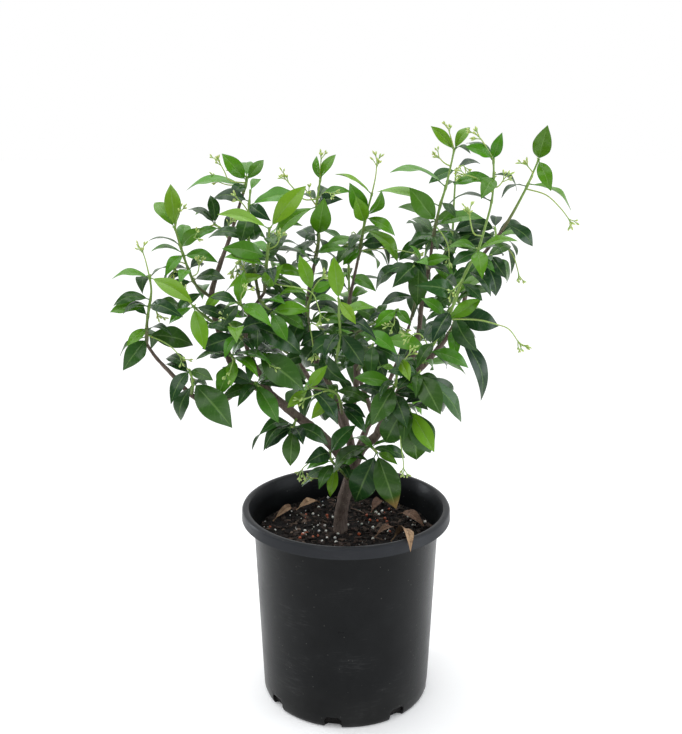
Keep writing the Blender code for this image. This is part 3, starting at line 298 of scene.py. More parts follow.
# Colours, some as ramps of (place on the ramp, colour)
NEW_GREEN = (0.15, 0.34, 0.012)
DARK_GREEN = (0.006, 0.031, 0.011)
GREENS = ((0.0, NEW_GREEN), (0.3, (0.066, 0.25, 0.006)), (0.6, (0.024, 0.1, 0.0135)), (1.0, DARK_GREEN))
OLIVES = ((0.0, (0.2, 0.3, 0.014)), (0.5, (0.11, 0.21, 0.012)), (1.0, DARK_GREEN))
VEIN_GREEN = (0.27, 0.45, 0.12)
UNDERSIDE = (0.13, 0.23, 0.09)
TIP_BROWNS = ((0.2, 0.13, 0.03), (0.35, 0.24, 0.1))
BARK_BROWN = (0.13, 0.091, 0.073)
BARK_GREY = (0.21, 0.165, 0.138)
BARKS = ((0.3, (0.056, 0.038, 0.031)), (0.5, BARK_BROWN), (0.72, BARK_GREY))
PORES = (0.3, 0.24, 0.18)
STEM_GREENS = ((0.1, BARK_BROWN), (0.45, (0.12, 0.13, 0.045)), (0.85, (0.2, 0.33, 0.06)))
BUD_GREENS = ((0.0, (0.16, 0.32, 0.05)), (0.5, (0.31, 0.47, 0.09)), (1.0, (0.5, 0.6, 0.2)))
STALK_GREEN = (0.24, 0.4, 0.07)
PALE_BUD = (0.6, 0.65, 0.35)
BLACKS = ((0.3, (0.005, 0.0056, 0.0063)), (0.7, (0.0078, 0.0089, 0.0099)))
DUST = (0.09, 0.085, 0.075)
SCUFF = (0.09, 0.09, 0.09)
SPECK = (0.2, 0.19, 0.17)
# Painted highlight: a lighter grey for the pot's rim, where light from above falls on it
RIM_PAINTED_LIGHT = (0.062, 0.065, 0.073)
EARTHS = ((0.3, (0.004, 0.0035, 0.0035)), (0.55, (0.014, 0.012, 0.0115)), (0.8, (0.055, 0.043, 0.038)))
CRUMB_BROWNS = ((0.0, (0.004, 0.0035, 0.0035)), (0.6, (0.016, 0.0125, 0.011)), (1.0, (0.056, 0.037, 0.03)))
CHIP_BROWNS = ((0.0, (0.018, 0.012, 0.01)), (0.5, (0.056, 0.027, 0.02)), (1.0, (0.17, 0.12, 0.088)))
GRAIN_BROWN = (0.14, 0.1, 0.08)
WHITES = ((0.85, 0.84, 0.8), (0.62, 0.6, 0.54))
ORANGES = ((0.5, 0.1, 0.03), (0.33, 0.07, 0.03))
DRY_PALES = ((0.3, (0.16, 0.085, 0.045)), (0.5, (0.4, 0.25, 0.14)), (0.75, (0.55, 0.4, 0.24)))
DRY_DEEPS = ((0.3, (0.03, 0.02, 0.015)), (0.5, (0.085, 0.035, 0.023)), (0.75, (0.15, 0.075, 0.05)))
DRY_VEIN = (0.11, 0.065, 0.035)
FLOOR_WHITES = ((0.9, 0.9, 0.9), (0.95, 0.95, 0.945))
FAR_FLOOR = (0.1, 0.1, 0.1)

# The plant is set out on an upright board through the pot's axis, as the eye sees it.
# A place is (across, height, depth behind the board), in millimetres.

# Woody branches: name, radius at foot and tip in millimetres, places
BRANCHES = [
    ("trunk", 8.6, 6.6, [(-6, 122, 0), (-6, 145, 0), (-6, 168, 0), (-4, 196, 2), (3, 225, 4), (9, 248, 5)]),
    ("right", 5.6, 2.4, [(7, 241, 4), (16, 260, -4), (30, 273, -14), (37, 289, -24), (50, 308, -38),
      (64, 328, -50), (74, 348, -58)]),
    ("right_rear", 3.8, 1.8, [(37, 288, -23), (48, 310, -5), (60, 340, 8), (69, 372, 14), (72, 405, 16),
      (78, 440, 16), (81, 466, 14)]),
    ("far_right", 3.2, 1.7, [(54, 325, 2), (75, 345, -5), (98, 375, -5), (111, 402, -2), (115, 422, 0),
      (122, 443, 2), (134, 460, 0), (146, 476, -2)]),
    ("left", 5.6, 1.8, [(5, 240, 4), (-10, 258, -8), (-28, 277, -18), (-48, 293, -28), (-75, 316, -38),
      (-100, 330, -44), (-110, 344, -44), (-116, 360, -38), (-124, 385, -28), (-129, 412, -18),
      (-121, 440, -8), (-110, 468, 2), (-101, 495, 10), (-96, 510, 14)]),
    ("far_left", 3.2, 1.8, [(-98, 329, -44), (-118, 311, -52), (-136, 307, -56), (-152, 315, -58),
      (-170, 336, -58), (-184, 352, -56), (-193, 366, -54)]),
    ("left_inner", 3.0, 1.9, [(-73, 315, -37), (-84, 336, -44), (-93, 353, -48), (-97, 368, -50),
      (-96, 383, -50), (-91, 398, -50), (-83, 410, -50), (-78, 417, -50)]),
    ("centre_left", 4.6, 2.0, [(7, 243, 5), (4, 268, 10), (-4, 295, 6), (-17, 328, 0), (-30, 352, -5),
      (-37, 385, -8), (-36, 415, -8), (-30, 445, -8)]),
    ("centre", 3.5, 1.8, [(-2, 288, 7), (8, 310, 20), (10, 340, 22), (6, 375, 20), (3, 405, 16),
      (6, 425, 12), (11, 448, 10)]),
    ("rear_left", 3.6, 1.8, [(3, 274, 10), (-14, 300, 28), (-38, 335, 48), (-58, 378, 62)]),
    ("rear_right", 3.8, 1.8, [(9, 247, 5), (18, 275, 22), (34, 310, 44), (50, 350, 62), (62, 390, 72)]),
    ("rear_middle", 3.0, 1.7, [(27, 294, 34), (14, 330, 58), (4, 374, 76)]),
]

# Leafy stems: name, places, leaves, and then each flower stalk as (place along the stem, its places).
# A leaf is (place along the stem, across, height and further depth of its tip, how far it faces
# the eye rather than the sky, age), and is mature where no age is given.
NEW, YOUNG, MATURE = "new", "young", "mature"
STEMS = [
    ("far_left_stem", [(-193, 366, -54), (-192, 385, -56), (-189, 402, -56), (-186, 418, -54),
      (-187, 433, -52)],
     [(4, -223, 434, -8, 0.35, YOUNG), (4, -158, 438, 22, 0.05), (3.9, -147, 408, -20, 0.6, NEW),
      (4, -196, 424, 28, 0.2), (2.1, -227, 398, -5, 0.55, YOUNG), (2.1, -152, 402, 18, 0.35),
      (0.4, -222, 356, -10, 0.15, YOUNG), (0.3, -216, 343, -22, 0.9), (0.5, -147, 368, 6, 0.75)],
     (0.5, [(-178, 369, -64), (-168, 362, -68), (-160, 352, -70)]),
      (4, [(-190, 448, -50), (-193, 458, -50)]), (2.1, [(-184, 402, -62), (-181, 396, -64)])),
    ("left_tall_stem", [(-129, 412, -18), (-143, 424, -22), (-150, 440, -24), (-156, 460, -24),
      (-161, 479, -24)],
     [(4, -163, 519, 4, 1, NEW), (4, -179, 504, 18, 0.6, YOUNG), (3.1, -186, 468, -6, 0.08),
      (3, -150, 484, 25, 0.7, YOUNG), (3, -135, 478, -12, 0.7, YOUNG), (2.6, -124, 450, -12, 0.6, YOUNG),
      (2, -176, 432, 16, 0.3), (1.3, -116, 432, -14, 0.5)],
     (2.2, [(-158, 446, -34), (-163, 441, -36)]), (1.5, [(-141, 436, -34), (-139, 446, -38)])),
    ("left_fork_stem", [(-110, 468, 2), (-117, 477, 14), (-124, 482, 22)],
     [(2, -147, 499, 4, 0.3), (2, -137, 499, 18, 0.1, YOUNG), (2, -126, 509, 6, 0.05),
      (1.2, -145, 469, -12, 0.5, YOUNG), (0.9, -98, 491, 22, 0.4)],
     (2, [(-130, 479, 14), (-138, 474, 12)])),
    ("top_left_stem", [(-96, 510, 14), (-93, 519, 13), (-92, 526, 12)],
     [(1.4, -114, 546, -10, 0.9, YOUNG), (1.4, -76, 541, 8, 0.8, YOUNG), (0.8, -107, 509, -24, 0.6),
      (0.7, -150, 516, 8, 0.25, YOUNG), (1.9, -92, 541, 30, 0.5, YOUNG)],
     (1.1, [(-108, 522, 2), (-113, 531, 0), (-118, 540, 0)]), (0.9, [(-110, 518, 22), (-121, 522, 24)])),
    ("pale_stem", [(-83, 410, -50), (-86, 430, -40), (-89, 450, -32), (-92, 470, -26), (-91, 495, -22),
      (-89, 514, -20)],
     [(4.2, -41, 509, 8, 0.45, YOUNG), (4.2, -74, 488, -20, 0.2), (4.4, -124, 509, 2, 0.55),
      (3.9, -99, 465, -16, 1), (3.8, -84, 464, 8, 0.8), (2.2, -104, 454, 8, 0.3),
      (5, -80, 525, 20, 0.4, YOUNG)],
     (2.3, [(-100, 450, -44), (-107, 438, -46)])),
    ("left_light_stem", [(-78, 417, -50), (-76, 440, -54), (-74, 458, -56), (-72, 479, -56)],
     [(3, -120, 493, -4, 0.4, NEW), (3, -38, 518, 4, 0.75, NEW), (1.6, -114, 461, -14, 0.75, YOUNG),
      (1.9, -30, 447, 12, 0.12), (1.9, -57, 440, 20, 0.5), (0.3, -65, 439, -22, 0.9, YOUNG),
      (0.7, -112, 424, -8, 0.6, NEW), (0.8, -38, 436, 10, 0.5, YOUNG)],
     (0.5, [(-62, 424, -64), (-48, 422, -70), (-33, 417, -74), (-27, 404, -76), (-24, 393, -76)])),
    ("centre_left_stem", [(-30, 445, -8), (-26, 468, -8), (-28, 488, -10), (-27, 505, -8), (-24, 524, -4)],
     [(4, -10, 546, 4, 0.4, YOUNG), (4, -26, 544, 6, 0.1, YOUNG), (3, 4, 514, 4, 0.4, YOUNG),
      (2.9, -40, 512, 20, 0.5), (3, -17, 517, 24, 0.6), (2.7, -9, 507, -16, 0.7),
      (1.2, -21, 504, -24, 1, YOUNG), (1.1, -38, 470, -18, 0.3), (2.6, -70, 467, -6, 0.35, YOUNG),
      (0.4, -4, 461, -12, 0.6, YOUNG), (0.4, -58, 457, 12, 0.25)],
     (3, [(-20, 511, -16), (-14, 510, -20)]), (2.6, [(-33, 506, -20), (-35, 511, -22)])),
    ("front_pale_stem", [(-17, 328, 0), (-10, 350, -40), (-6, 376, -66), (-7, 395, -76), (-7, 411, -80)],
     [(4, -12, 451, -4, 0.9, NEW), (4, 9, 387, -18, 0.8, NEW), (3, 30, 404, 16, 0.4, YOUNG),
      (3, -34, 398, 16, 0.5), (2.1, 17, 345, -10, 0.9), (2, -34, 358, -6, 0.8)]),
    ("front_left_stem", [(-37, 385, -8), (-37, 402, -38), (-32, 419, -60)],
     [(2, -44, 452, -4, 0.9, NEW), (2, -13, 427, -10, 0.7, YOUNG), (1.6, -62, 420, -14, 0.5, YOUNG),
      (1.2, -66, 429, 2, 0.4), (1, -12, 434, 24, 0.5)]),
    ("centre_stem", [(11, 448, 10), (14, 466, 8), (18, 488, 6), (24, 511, 4)],
     [(3, -11, 529, 0, 0.2, NEW), (2, 4, 518, -12, 0.95, YOUNG), (2.1, 27, 514, -18, 0.9, YOUNG),
      (1.8, 9, 507, -28, 1, NEW), (2, 46, 474, -10, 0.6, YOUNG), (1.5, 52, 451, -8, 0.35, YOUNG),
      (0.8, 37, 467, -10, 0.6), (0.5, 42, 449, 8, 0.08), (1, -20, 462, -8, 0.35, YOUNG),
      (0.6, -3, 444, -18, 0.7, YOUNG)],
     (3, [(27, 526, 2), (28, 539, 2)]), (1, [(6, 475, 2), (5, 466, 0)])),
    ("right_tall_stem", [(81, 466, 14), (84, 484, 12), (88, 502, 12), (92, 516, 12), (96, 535, 12),
      (99, 551, 12)],
     [(5, 77, 571, -4, 0.7, NEW), (5, 112, 572, 6, 0.6, YOUNG), (4.9, 112, 552, -16, 0.3),
      (3, 42, 535, -4, 0.15, YOUNG), (3, 101, 521, 20, 0.2), (2, 102, 489, -14, 0.4),
      (1, 56, 514, -8, 1, YOUNG), (1.8, 28, 513, 10, 0.35, NEW), (0.8, 128, 489, -6, 0.45, YOUNG),
      (0.5, 112, 470, 6, 0.12), (0.3, 58, 465, -8, 0.4)],
     (5, [(95, 562, 4), (93, 568, 0)]), (0.8, [(91, 471, 0), (96, 460, -4), (97, 446, -6)])),
    ("right_front_stem", [(74, 348, -58), (80, 360, -62), (89, 375, -68), (97, 391, -74), (104, 410, -78),
      (111, 431, -80), (120, 450, -80), (124, 457, -80), (130, 480, -76), (135, 503, -72), (136, 524, -70),
      (135, 543, -70)],
     [(11, 109, 553, -10, 0.6, YOUNG), (11, 141, 563, -12, 0.8, YOUNG), (10.8, 110, 558, 18, 0.3),
      (10, 99, 519, -6, 0.5, YOUNG), (10, 126, 508, -26, 0.8, YOUNG), (10.2, 161, 517, 6, 0.3),
      (9, 91, 505, 6, 0.1), (7, 99, 465, -10, 0.45, YOUNG), (7, 128, 436, -28, 0.9, YOUNG),
      (7, 148, 459, 14, 0.1), (6.8, 100, 443, -10, 0.6), (3, 129, 411, -4, 1, NEW),
      (3, 72, 412, -2, 0.5, YOUNG), (1, 120, 345, -8, 0.6, YOUNG), (0.9, 38, 373, -6, 0.6, YOUNG)],
     (3, [(115, 391, -84), (130, 390, -90), (145, 386, -94), (157, 381, -96), (168, 366, -96)]),
      (1, [(77, 369, -74), (70, 377, -78), (60, 374, -80)]), (9.6, [(141, 517, -82), (146, 524, -84)]),
      (11, [(124, 558, -78), (119, 563, -80)]), (7.6, [(119, 474, -92), (114, 494, -94)])),
    ("far_right_stem", [(146, 476, -2), (155, 492, -4), (163, 508, -6), (168, 519, -6), (177, 542, -8)],
     [(4, 183, 571, -24, 0.9, YOUNG), (4, 189, 515, -18, 0.8, YOUNG), (3, 212, 497, 4, 0.2, YOUNG),
      (2.8, 143, 512, -10, 0.06), (0.4, 177, 463, -6, 0.6)],
     (2.6, [(185, 509, -16), (199, 497, -20), (209, 485, -22)])),
    ("right_thin_stem", [(78, 440, 16), (92, 453, 34), (99, 472, 46), (100, 502, 54), (101, 533, 58)],
     [(4, 123, 541, 4, 0.3), (4, 76, 521, -6, 0.6), (2, 125, 484, 16, 0.5), (1.5, 66, 470, 20, 0.4)],
     (4, [(107, 536, 52), (110, 532, 50)])),
    ("right_dark_stem", [(122, 443, 2), (130, 449, -12), (137, 453, -22)],
     [(2, 150, 433, -16, 1), (1.4, 158, 428, 12, 0.5), (1, 145, 414, -6, 0.5), (1.2, 112, 428, -22, 0.7)]),
    ("right_upper_stem", [(134, 460, 0), (140, 470, 16), (139, 479, 30)],
     [(1, 112, 466, -4, 0.7), (1.8, 115, 484, 0, 0.8), (2, 140, 491, 20, 0.8)],
     (0.9, [(150, 461, 4), (158, 451, 0), (164, 433, -4)])),
    ("right_mid_stem", [(98, 375, -5), (103, 382, -28), (104, 396, -42)],
     [(1, 140, 311, -12, 0.3), (2, 123, 360, -18, 0.9), (2, 147, 385, -6, 0.9), (1.9, 88, 365, -4, 0.9)]),
    ("right_big_stem", [(64, 328, -50), (68, 334, -66), (71, 338, -74)],
     [(2, 93, 296, -24, 0.9), (1.7, 115, 287, 12, 0.5), (1.2, 107, 300, 26, 0.7),
      (1.6, 44, 341, -14, 0.7)]),
    ("right_low_stem", [(50, 308, -38), (58, 305, -52), (63, 300, -60)],
     [(2, 88, 256, -18, 0.9, NEW), (1.6, 91, 265, 8, 0.9), (1.2, 73, 243, -4, 0.7), (1, 38, 264, 10, 0.9)],
     (1, [(54, 272, -66), (57, 248, -70), (58, 236, -70)])),
    ("front_mid_stem", [(37, 289, -24), (42, 308, -48), (48, 325, -66), (50, 342, -76), (52, 355, -80)],
     [(4, 62, 330, -24, 0.8, NEW), (4, 14, 381, 6, 0.4, YOUNG), (2, 8, 333, -8, 0.6, YOUNG),
      (2, 26, 286, -22, 0.9), (3.2, 78, 352, 14, 0.5, YOUNG)]),
    ("low_front_stem", [(16, 260, -4), (24, 262, -24), (31, 255, -38)],
     [(1, -14, 237, -26, 0.85), (2, 8, 200, -14, 0.95), (2, 51, 196, -24, 0.9, YOUNG)]),
    ("low_left_stem", [(3, 225, 4), (-6, 238, -16), (-14, 246, -26), (-16, 256, -30)],
     [(1.5, -16, 208, -14, 0.8, NEW), (2, -40, 240, -4, 0.5, YOUNG), (3, -36, 248, -26, 0.8),
      (2.9, 8, 284, -4, 0.6)],
     (2.2, [(-30, 248, -38), (-42, 240, -42), (-46, 233, -44)]), (1, [(-22, 229, -28), (-37, 228, -34)])),
    ("left_under_stem", [(-48, 293, -28), (-51, 286, -38), (-53, 280, -46)],
     [(2, -80, 259, -10, 0.5), (1.6, -79, 272, 12, 0.6), (2, -56, 241, -12, 0.8), (1.2, -97, 263, 10, 0.1),
      (1.5, -18, 268, -12, 0.6)]),
    ("left_front_stem", [(-75, 316, -38), (-84, 323, -50), (-90, 327, -56)],
     [(2, -67, 289, -16, 0.8, YOUNG), (1.7, -57, 342, -20, 0.5, YOUNG), (2, -120, 343, 10, 0.4)]),
    ("left_hanging_stem", [(-152, 315, -58), (-150, 328, -68), (-153, 341, -74)],
     [(1, -114, 284, -20, 0.9), (2, -130, 330, -12, 0.7), (0.8, -168, 289, -8, 0.4),
      (2, -176, 356, 18, 0.4)]),
    ("left_bright_stem", [(-110, 344, -44), (-109, 350, -56), (-112, 356, -62)],
     [(1, -126, 314, -16, 0.8, YOUNG), (0.8, -122, 318, 22, 0.6, YOUNG), (2, -146, 352, -12, 0.6)],
     (1.5, [(-110, 350, -74), (-114, 336, -78)])),
    ("left_dark_stem", [(-97, 368, -50), (-103, 374, -60), (-107, 378, -66)],
     [(1, -140, 362, -4, 0.8), (2, -136, 386, 8, 0.5), (1.8, -74, 389, -12, 0.6)]),
    ("left_mid_stem", [(-124, 385, -28), (-136, 394, -44), (-147, 404, -54)],
     [(2, -137, 361, -22, 0.9, NEW), (2, -171, 387, -4, 0.5, YOUNG), (1.2, -116, 419, 4, 0.6, NEW),
      (1, -150, 377, 10, 0.5)]),
    ("left_centre_stem", [(-91, 398, -50), (-98, 403, -60), (-104, 407, -64)],
     [(2, -129, 414, -4, 0.5), (1.7, -120, 385, -12, 0.7), (2, -98, 436, -6, 0.6, YOUNG)],
     (1.5, [(-100, 415, -74), (-96, 420, -78)])),
    ("inner_upper_stem", [(-83, 410, -50), (-77, 403, -60), (-71, 397, -66)],
     [(2, -37, 402, -4, 0.7, YOUNG), (2, -57, 367, -8, 0.8, YOUNG), (1.6, -52, 418, 4, 0.5)]),
    ("inner_mid_stem", [(-96, 383, -50), (-90, 384, -62), (-86, 383, -68)],
     [(1.4, -43, 361, -12, 0.7), (2, -66, 402, 6, 0.6)]),
    ("inner_low_stem", [(-93, 353, -48), (-88, 356, -62), (-84, 357, -70)],
     [(1.4, -42, 322, -20, 0.85), (2, -50, 350, 12, 0.6)]),
    ("centre_bright_stem", [(-4, 295, 6), (-6, 309, -30), (-11, 318, -50), (-28, 322, -62),
      (-38, 322, -68)],
     [(4, -20, 344, -12, 0.8, NEW), (4, -58, 302, -12, 0.8, NEW), (2, -34, 291, -20, 0.9, NEW),
      (1.5, -29, 289, 12, 0.8), (1, 20, 316, -16, 0.7)],
     (2.4, [(-26, 317, -76), (-42, 310, -80)])),
    ("centre_dark_stem", [(-30, 352, -5), (-24, 365, -28), (-19, 380, -38)],
     [(2, -44, 365, -12, 0.9), (2, 6, 366, 6, 0.9), (1, -6, 326, -20, 0.9), (1.4, -46, 342, 8, 0.7)],
     (2, [(-34, 387, -54), (-33, 372, -60), (-31, 357, -62)])),
    ("centre_low_stem", [(10, 340, 22), (18, 352, -4), (26, 366, -22)],
     [(2, 38, 333, -16, 0.9), (1.4, 29, 324, -22, 0.9), (2, 52, 376, -10, 0.6), (1, -8, 346, 12, 0.7)]),
    ("centre_right_stem", [(6, 375, 20), (24, 386, 0), (40, 396, -14), (50, 401, -20)],
     [(3, 28, 385, -16, 0.7, YOUNG), (3, 61, 387, -16, 0.9, YOUNG), (2, 50, 376, -16, 0.8),
      (1.2, 12, 402, -22, 0.7), (1.4, 38, 408, 14, 0.3)],
     (2.6, [(46, 386, -34), (42, 384, -38)])),
    ("centre_upper_stem", [(78, 440, 16), (69, 445, -6), (62, 441, -18)],
     [(1.2, 47, 427, -24, 0.8), (2, 38, 438, 0, 0.6), (1, 60, 462, -14, 0.5, YOUNG), (1, 68, 405, -12, 0.8),
      (2, 24, 424, 14, 0.4)]),
    ("mid_dark_stem", [(111, 402, -2), (104, 414, 12), (98, 429, 20)],
     [(2, 80, 427, -22, 0.7), (2, 124, 440, 4, 0.5), (1, 82, 402, -8, 0.7), (2, 96, 458, 4, 0.6),
      (1.2, 132, 414, 14, 0.6)]),
]

# Stems on the far side follow a rule: name, branch that carries it, share along the branch,
# heading in degrees from +X towards the back, rise in degrees, length in millimetres, pairs
REAR_STEMS = [
    ("rear_left_top_stem", "rear_left", 1.0, 125, 68, 88, 4),
    ("rear_left_side_stem", "rear_left", 0.72, 165, 35, 76, 3),
    ("rear_left_low_stem", "rear_left", 0.45, 130, 10, 62, 3),
    ("rear_middle_top_stem", "rear_middle", 1.0, 95, 72, 86, 4),
    ("rear_middle_low_stem", "rear_middle", 0.55, 95, 15, 58, 2),
    ("rear_right_top_stem", "rear_right", 1.0, 55, 66, 90, 4),
    ("rear_right_side_stem", "rear_right", 0.75, 20, 35, 76, 3),
    ("rear_right_low_stem", "rear_right", 0.5, 48, 8, 62, 2),
]
REAR_LEAF = 46 * MM
REAR_SIZES = (0.82, 1.1)
REAR_SPREAD = math.radians(62)
REAR_FACING = (0.7, 0.45, 0.3)  # to the sky, away from the middle, and along the stem
REAR_LIFT = 0.12

# More flower stalks, by stem
MORE_SPRAYS = {
    "top_left_stem": [(1.9, [(-98, 530, 12), (-105, 534, 10)])],
    "centre_left_stem": [(3, [(-40, 505, -12), (-50, 516, -12), (-57, 524, -12)]),
        (4, [(-24, 534, -2), (-23, 542, 0)])],
    "centre_stem": [(2, [(16, 492, 0), (14, 496, -2)]), (0.5, [(34, 459, 4), (52, 457, 0), (66, 454, -4)])],
    "centre_right_stem": [(2, [(48, 389, -24), (54, 381, -26)])],
    "right_front_stem": [(9.4, [(120, 524, -78), (106, 528, -80)]),
        (5, [(106, 424, -88), (100, 418, -92)])],
    "right_tall_stem": [(4, [(90, 538, 8), (84, 544, 4)])],
    "left_tall_stem": [(3, [(-148, 466, -32), (-142, 470, -36)]),
        (4, [(-158, 488, -26), (-155, 494, -28)])],
    "left_fork_stem": [(1, [(-112, 478, 2), (-108, 484, 0)])],
    "pale_stem": [(3.9, [(-96, 500, -30), (-102, 506, -32)]), (1, [(-94, 434, -48), (-98, 442, -52)])],
    "left_light_stem": [(2, [(-66, 462, -62), (-62, 470, -64)])],
    "front_left_stem": [(2, [(-28, 426, -66), (-22, 432, -68)])],
    "left_mid_stem": [(2, [(-152, 410, -60), (-156, 417, -62)])],
    "left_dark_stem": [(2, [(-112, 386, -70), (-116, 392, -72)])],
    "inner_low_stem": [(2, [(-78, 350, -78), (-72, 344, -80)])],
    "front_mid_stem": [(3, [(56, 350, -86), (62, 358, -88)])],
    "far_right_stem": [(3, [(172, 528, -12), (166, 536, -14)])],
}

# Dry leaves on the compost, in millimetres from the pot's base: name, foot, tip, facing, breadth,
# and then how dark it is, how much slimmer, its fold, curl and twist
DEAD_LEAVES = [
    ("dead_leaf_front", (45, -30, 178), (61, -97, 206), (0.3, 0.2, 1), 0.62, 0.0, 0.62, 0.3, 0.5, 0.0),
    ("dead_leaf_left", (-53, 46, 176), (-27, 66, 180), (0.2, -0.3, 1), 0.9, 0.1, 0.8, 0.3, 0.9, 0.7),
    ("dead_leaf_left_edge", (-76, 20, 176), (-58, 56, 178), (0.5, -0.2, 1), 0.7, 0.45, 0.7, 0.5, 0.2, -1.1),
    ("dead_leaf_right", (58, 34, 176), (79, 4, 178), (-0.3, -0.2, 1), 0.9, 0.8, 0.85, 0.3, 0.7, 0.6),
    ("dead_leaf_rear", (26, 40, 176), (40, 74, 178), (0, -0.4, 1), 0.8, 0.9, 0.85, 0.2, 0.4, -0.6),
    ("dead_leaf_middle", (28, -30, 176), (52, -4, 176), (0, -0.2, 1), 0.8, 0.75, 0.75, 0.4, 0.6, 0.4),
]

# Pixels of the photograph at which a prill or the twig is seen, and how many prills are added at random
WHITE_SEEN = [
    (313, 514), (323, 506), (318, 525), (325, 526), (305, 530), (319, 531), (326, 531), (322, 541),
    (327, 538), (335, 538), (338, 533), (348, 525), (362, 524), (373, 538), (388, 532), (376, 513),
    (379, 515), (382, 512), (405, 513), (410, 513), (408, 517), (425, 522), (336, 543),
]
ORANGE_SEEN = [
    (270, 527), (306, 514), (306, 518), (327, 516), (302, 534), (305, 533), (307, 532), (303, 535),
    (300, 538), (367, 516), (370, 520), (385, 513), (385, 518), (387, 522), (388, 525), (318, 536),
    (313, 537),
]
MORE_WHITE = 12
MORE_ORANGE = 8
TWIG_SEEN = [(351, 510), (357, 512), (364, 515)]



def on_board(place):
    """The point that the eye sees against the board at (across, height), depth behind it."""
    across, height, depth = place
    board = Vector((across, 0.0, height)) * MM
    return EYE + (board - EYE) * (1 + depth * MM / -EYE.y)


def line_of(places):
    return [on_board(place) for place in places]


def swung(a, b, turn):
    """The direction a turn round from a towards b."""
    return a * math.cos(turn) + b * math.sin(turn)


def on_circle(reach, turn):
    return reach * math.cos(turn), reach * math.sin(turn)


def turns(count):
    return [math.tau * k / count for k in range(count)]


def square_to(way):
    """Two directions square to a way and to each other."""
    side = way.orthogonal().normalized()
    return side, way.cross(side)


def smooth(points, per_span):
    """A Catmull-Rom line through the points."""
    ends = [points[0] * 2 - points[1], *points, points[-1] * 2 - points[-2]]
    line = []
    for i in range(1, len(ends) - 2):
        a, b, c, d = ends[i - 1 : i + 3]
        for k in range(per_span):
            t = k / per_span
            bend = (c - a) * t + (2 * a - 5 * b + 4 * c - d) * t**2 + (3 * b - a - 3 * c + d) * t**3
            line.append(0.5 * (2 * b + bend))
    line.append(points[-1].copy())
    return line


def point_at(line, distance):
    """The point at a distance along a line."""
    for a, b in zip(line, line[1:]):
        step = (b - a).length
        if distance <= step:
            return a.lerp(b, distance / step)
        distance -= step
    return line[-1].copy()


def length_of(line):
    return sum((b - a).length for a, b in zip(line, line[1:]))


def distance_to(line, place):
    """How far along a line a place such as 2.5 of its points is."""
    step = min(place, len(line) - 1)
    whole = int(step)
    walked = length_of(line[: whole + 1])
    if step > whole:
        walked += (line[whole + 1] - line[whole]).length * (step - whole)
    return walked


def distance_on(line, place):
    """How far along a line the point nearest to a place is."""
    best = (math.inf, 0.0)
    walked = 0.0
    for a, b in zip(line, line[1:]):
        way = b - a
        share = max(0.0, min(1.0, (place - a).dot(way) / way.length_squared))
        gap = (a + way * share - place).length
        best = min(best, (gap, walked + way.length * share))
        walked += way.length
    return best[1]


def stretch(line, start, end):
    """The part of a line between two distances along it."""
    cut = [point_at(line, start)]
    walked = 0.0
    for a, b in zip(line, line[1:]):
        walked += (b - a).length
        if start + SHORTEST < walked < end - SHORTEST:
            cut.append(b.copy())
    cut.append(point_at(line, end))
    return cut


def evenly(line, step):
    """Points at even distances along a line."""
    whole = length_of(line)
    count = max(2, round(whole / step))
    return [point_at(line, whole * k / count) for k in range(count + 1)]


def taper(count, foot, tip):
    return [foot + (tip - foot) * i / (count - 1) for i in range(count)]


def new_object(name, data, collection=None):
    made = bpy.data.objects.new(name, data)
    (collection or bpy.context.scene.collection).objects.link(made)
    return made


def add_modifier(item, kind, **settings):
    modifier = item.modifiers.new(kind, kind)
    for name, value in settings.items():
        setattr(modifier, name, value)


def evaluated_mesh(item):
    """What the modifiers of an object, or the bevel of a curve, make of it."""
    graph = bpy.context.evaluated_depsgraph_get()
    return bpy.data.meshes.new_from_object(item.evaluated_get(graph))


def apply_modifiers(item):
    item.data = evaluated_mesh(item)
    item.modifiers.clear()


def welded(mesh):
    bm = bmesh.new()
    bm.from_mesh(mesh)
    bmesh.ops.remove_doubles(bm, verts=bm.verts, dist=WELD)
    bmesh.ops.recalc_face_normals(bm, faces=bm.faces)
    bm.to_mesh(mesh)
    bm.free()
    return mesh


def rod(line, radii):
    """A tapering rod along a line, as a mesh."""
    curve = bpy.data.curves.new("rod", "CURVE")
    curve.dimensions = "3D"
    curve.bevel_depth = 1.0
    curve.bevel_resolution = 0
    curve.use_fill_caps = True
    spline = curve.splines.new("POLY")
    spline.points.add(len(line) - 1)
    for point, place, radius in zip(spline.points, line, radii):
        point.co = (*place, 1.0)
        point.radius = radius
    guide = new_object("rod", curve)
    mesh = welded(evaluated_mesh(guide))
    bpy.data.objects.remove(guide)
    return mesh


def stalk_rod(root, route):
    """A flower stalk that swells to a slim bud at its end, as a mesh."""
    if len(route) > 2:
        route = [route[len(route) // 2], route[-1]]
    way = (route[-1] - (route[-2] if len(route) > 1 else root)).normalized()
    line = [root, *route, route[-1] + way * BUD_LENGTH]
    return rod(line, [STALK] * (len(line) - 2) + [BUD, STALK * BUD_POINT])


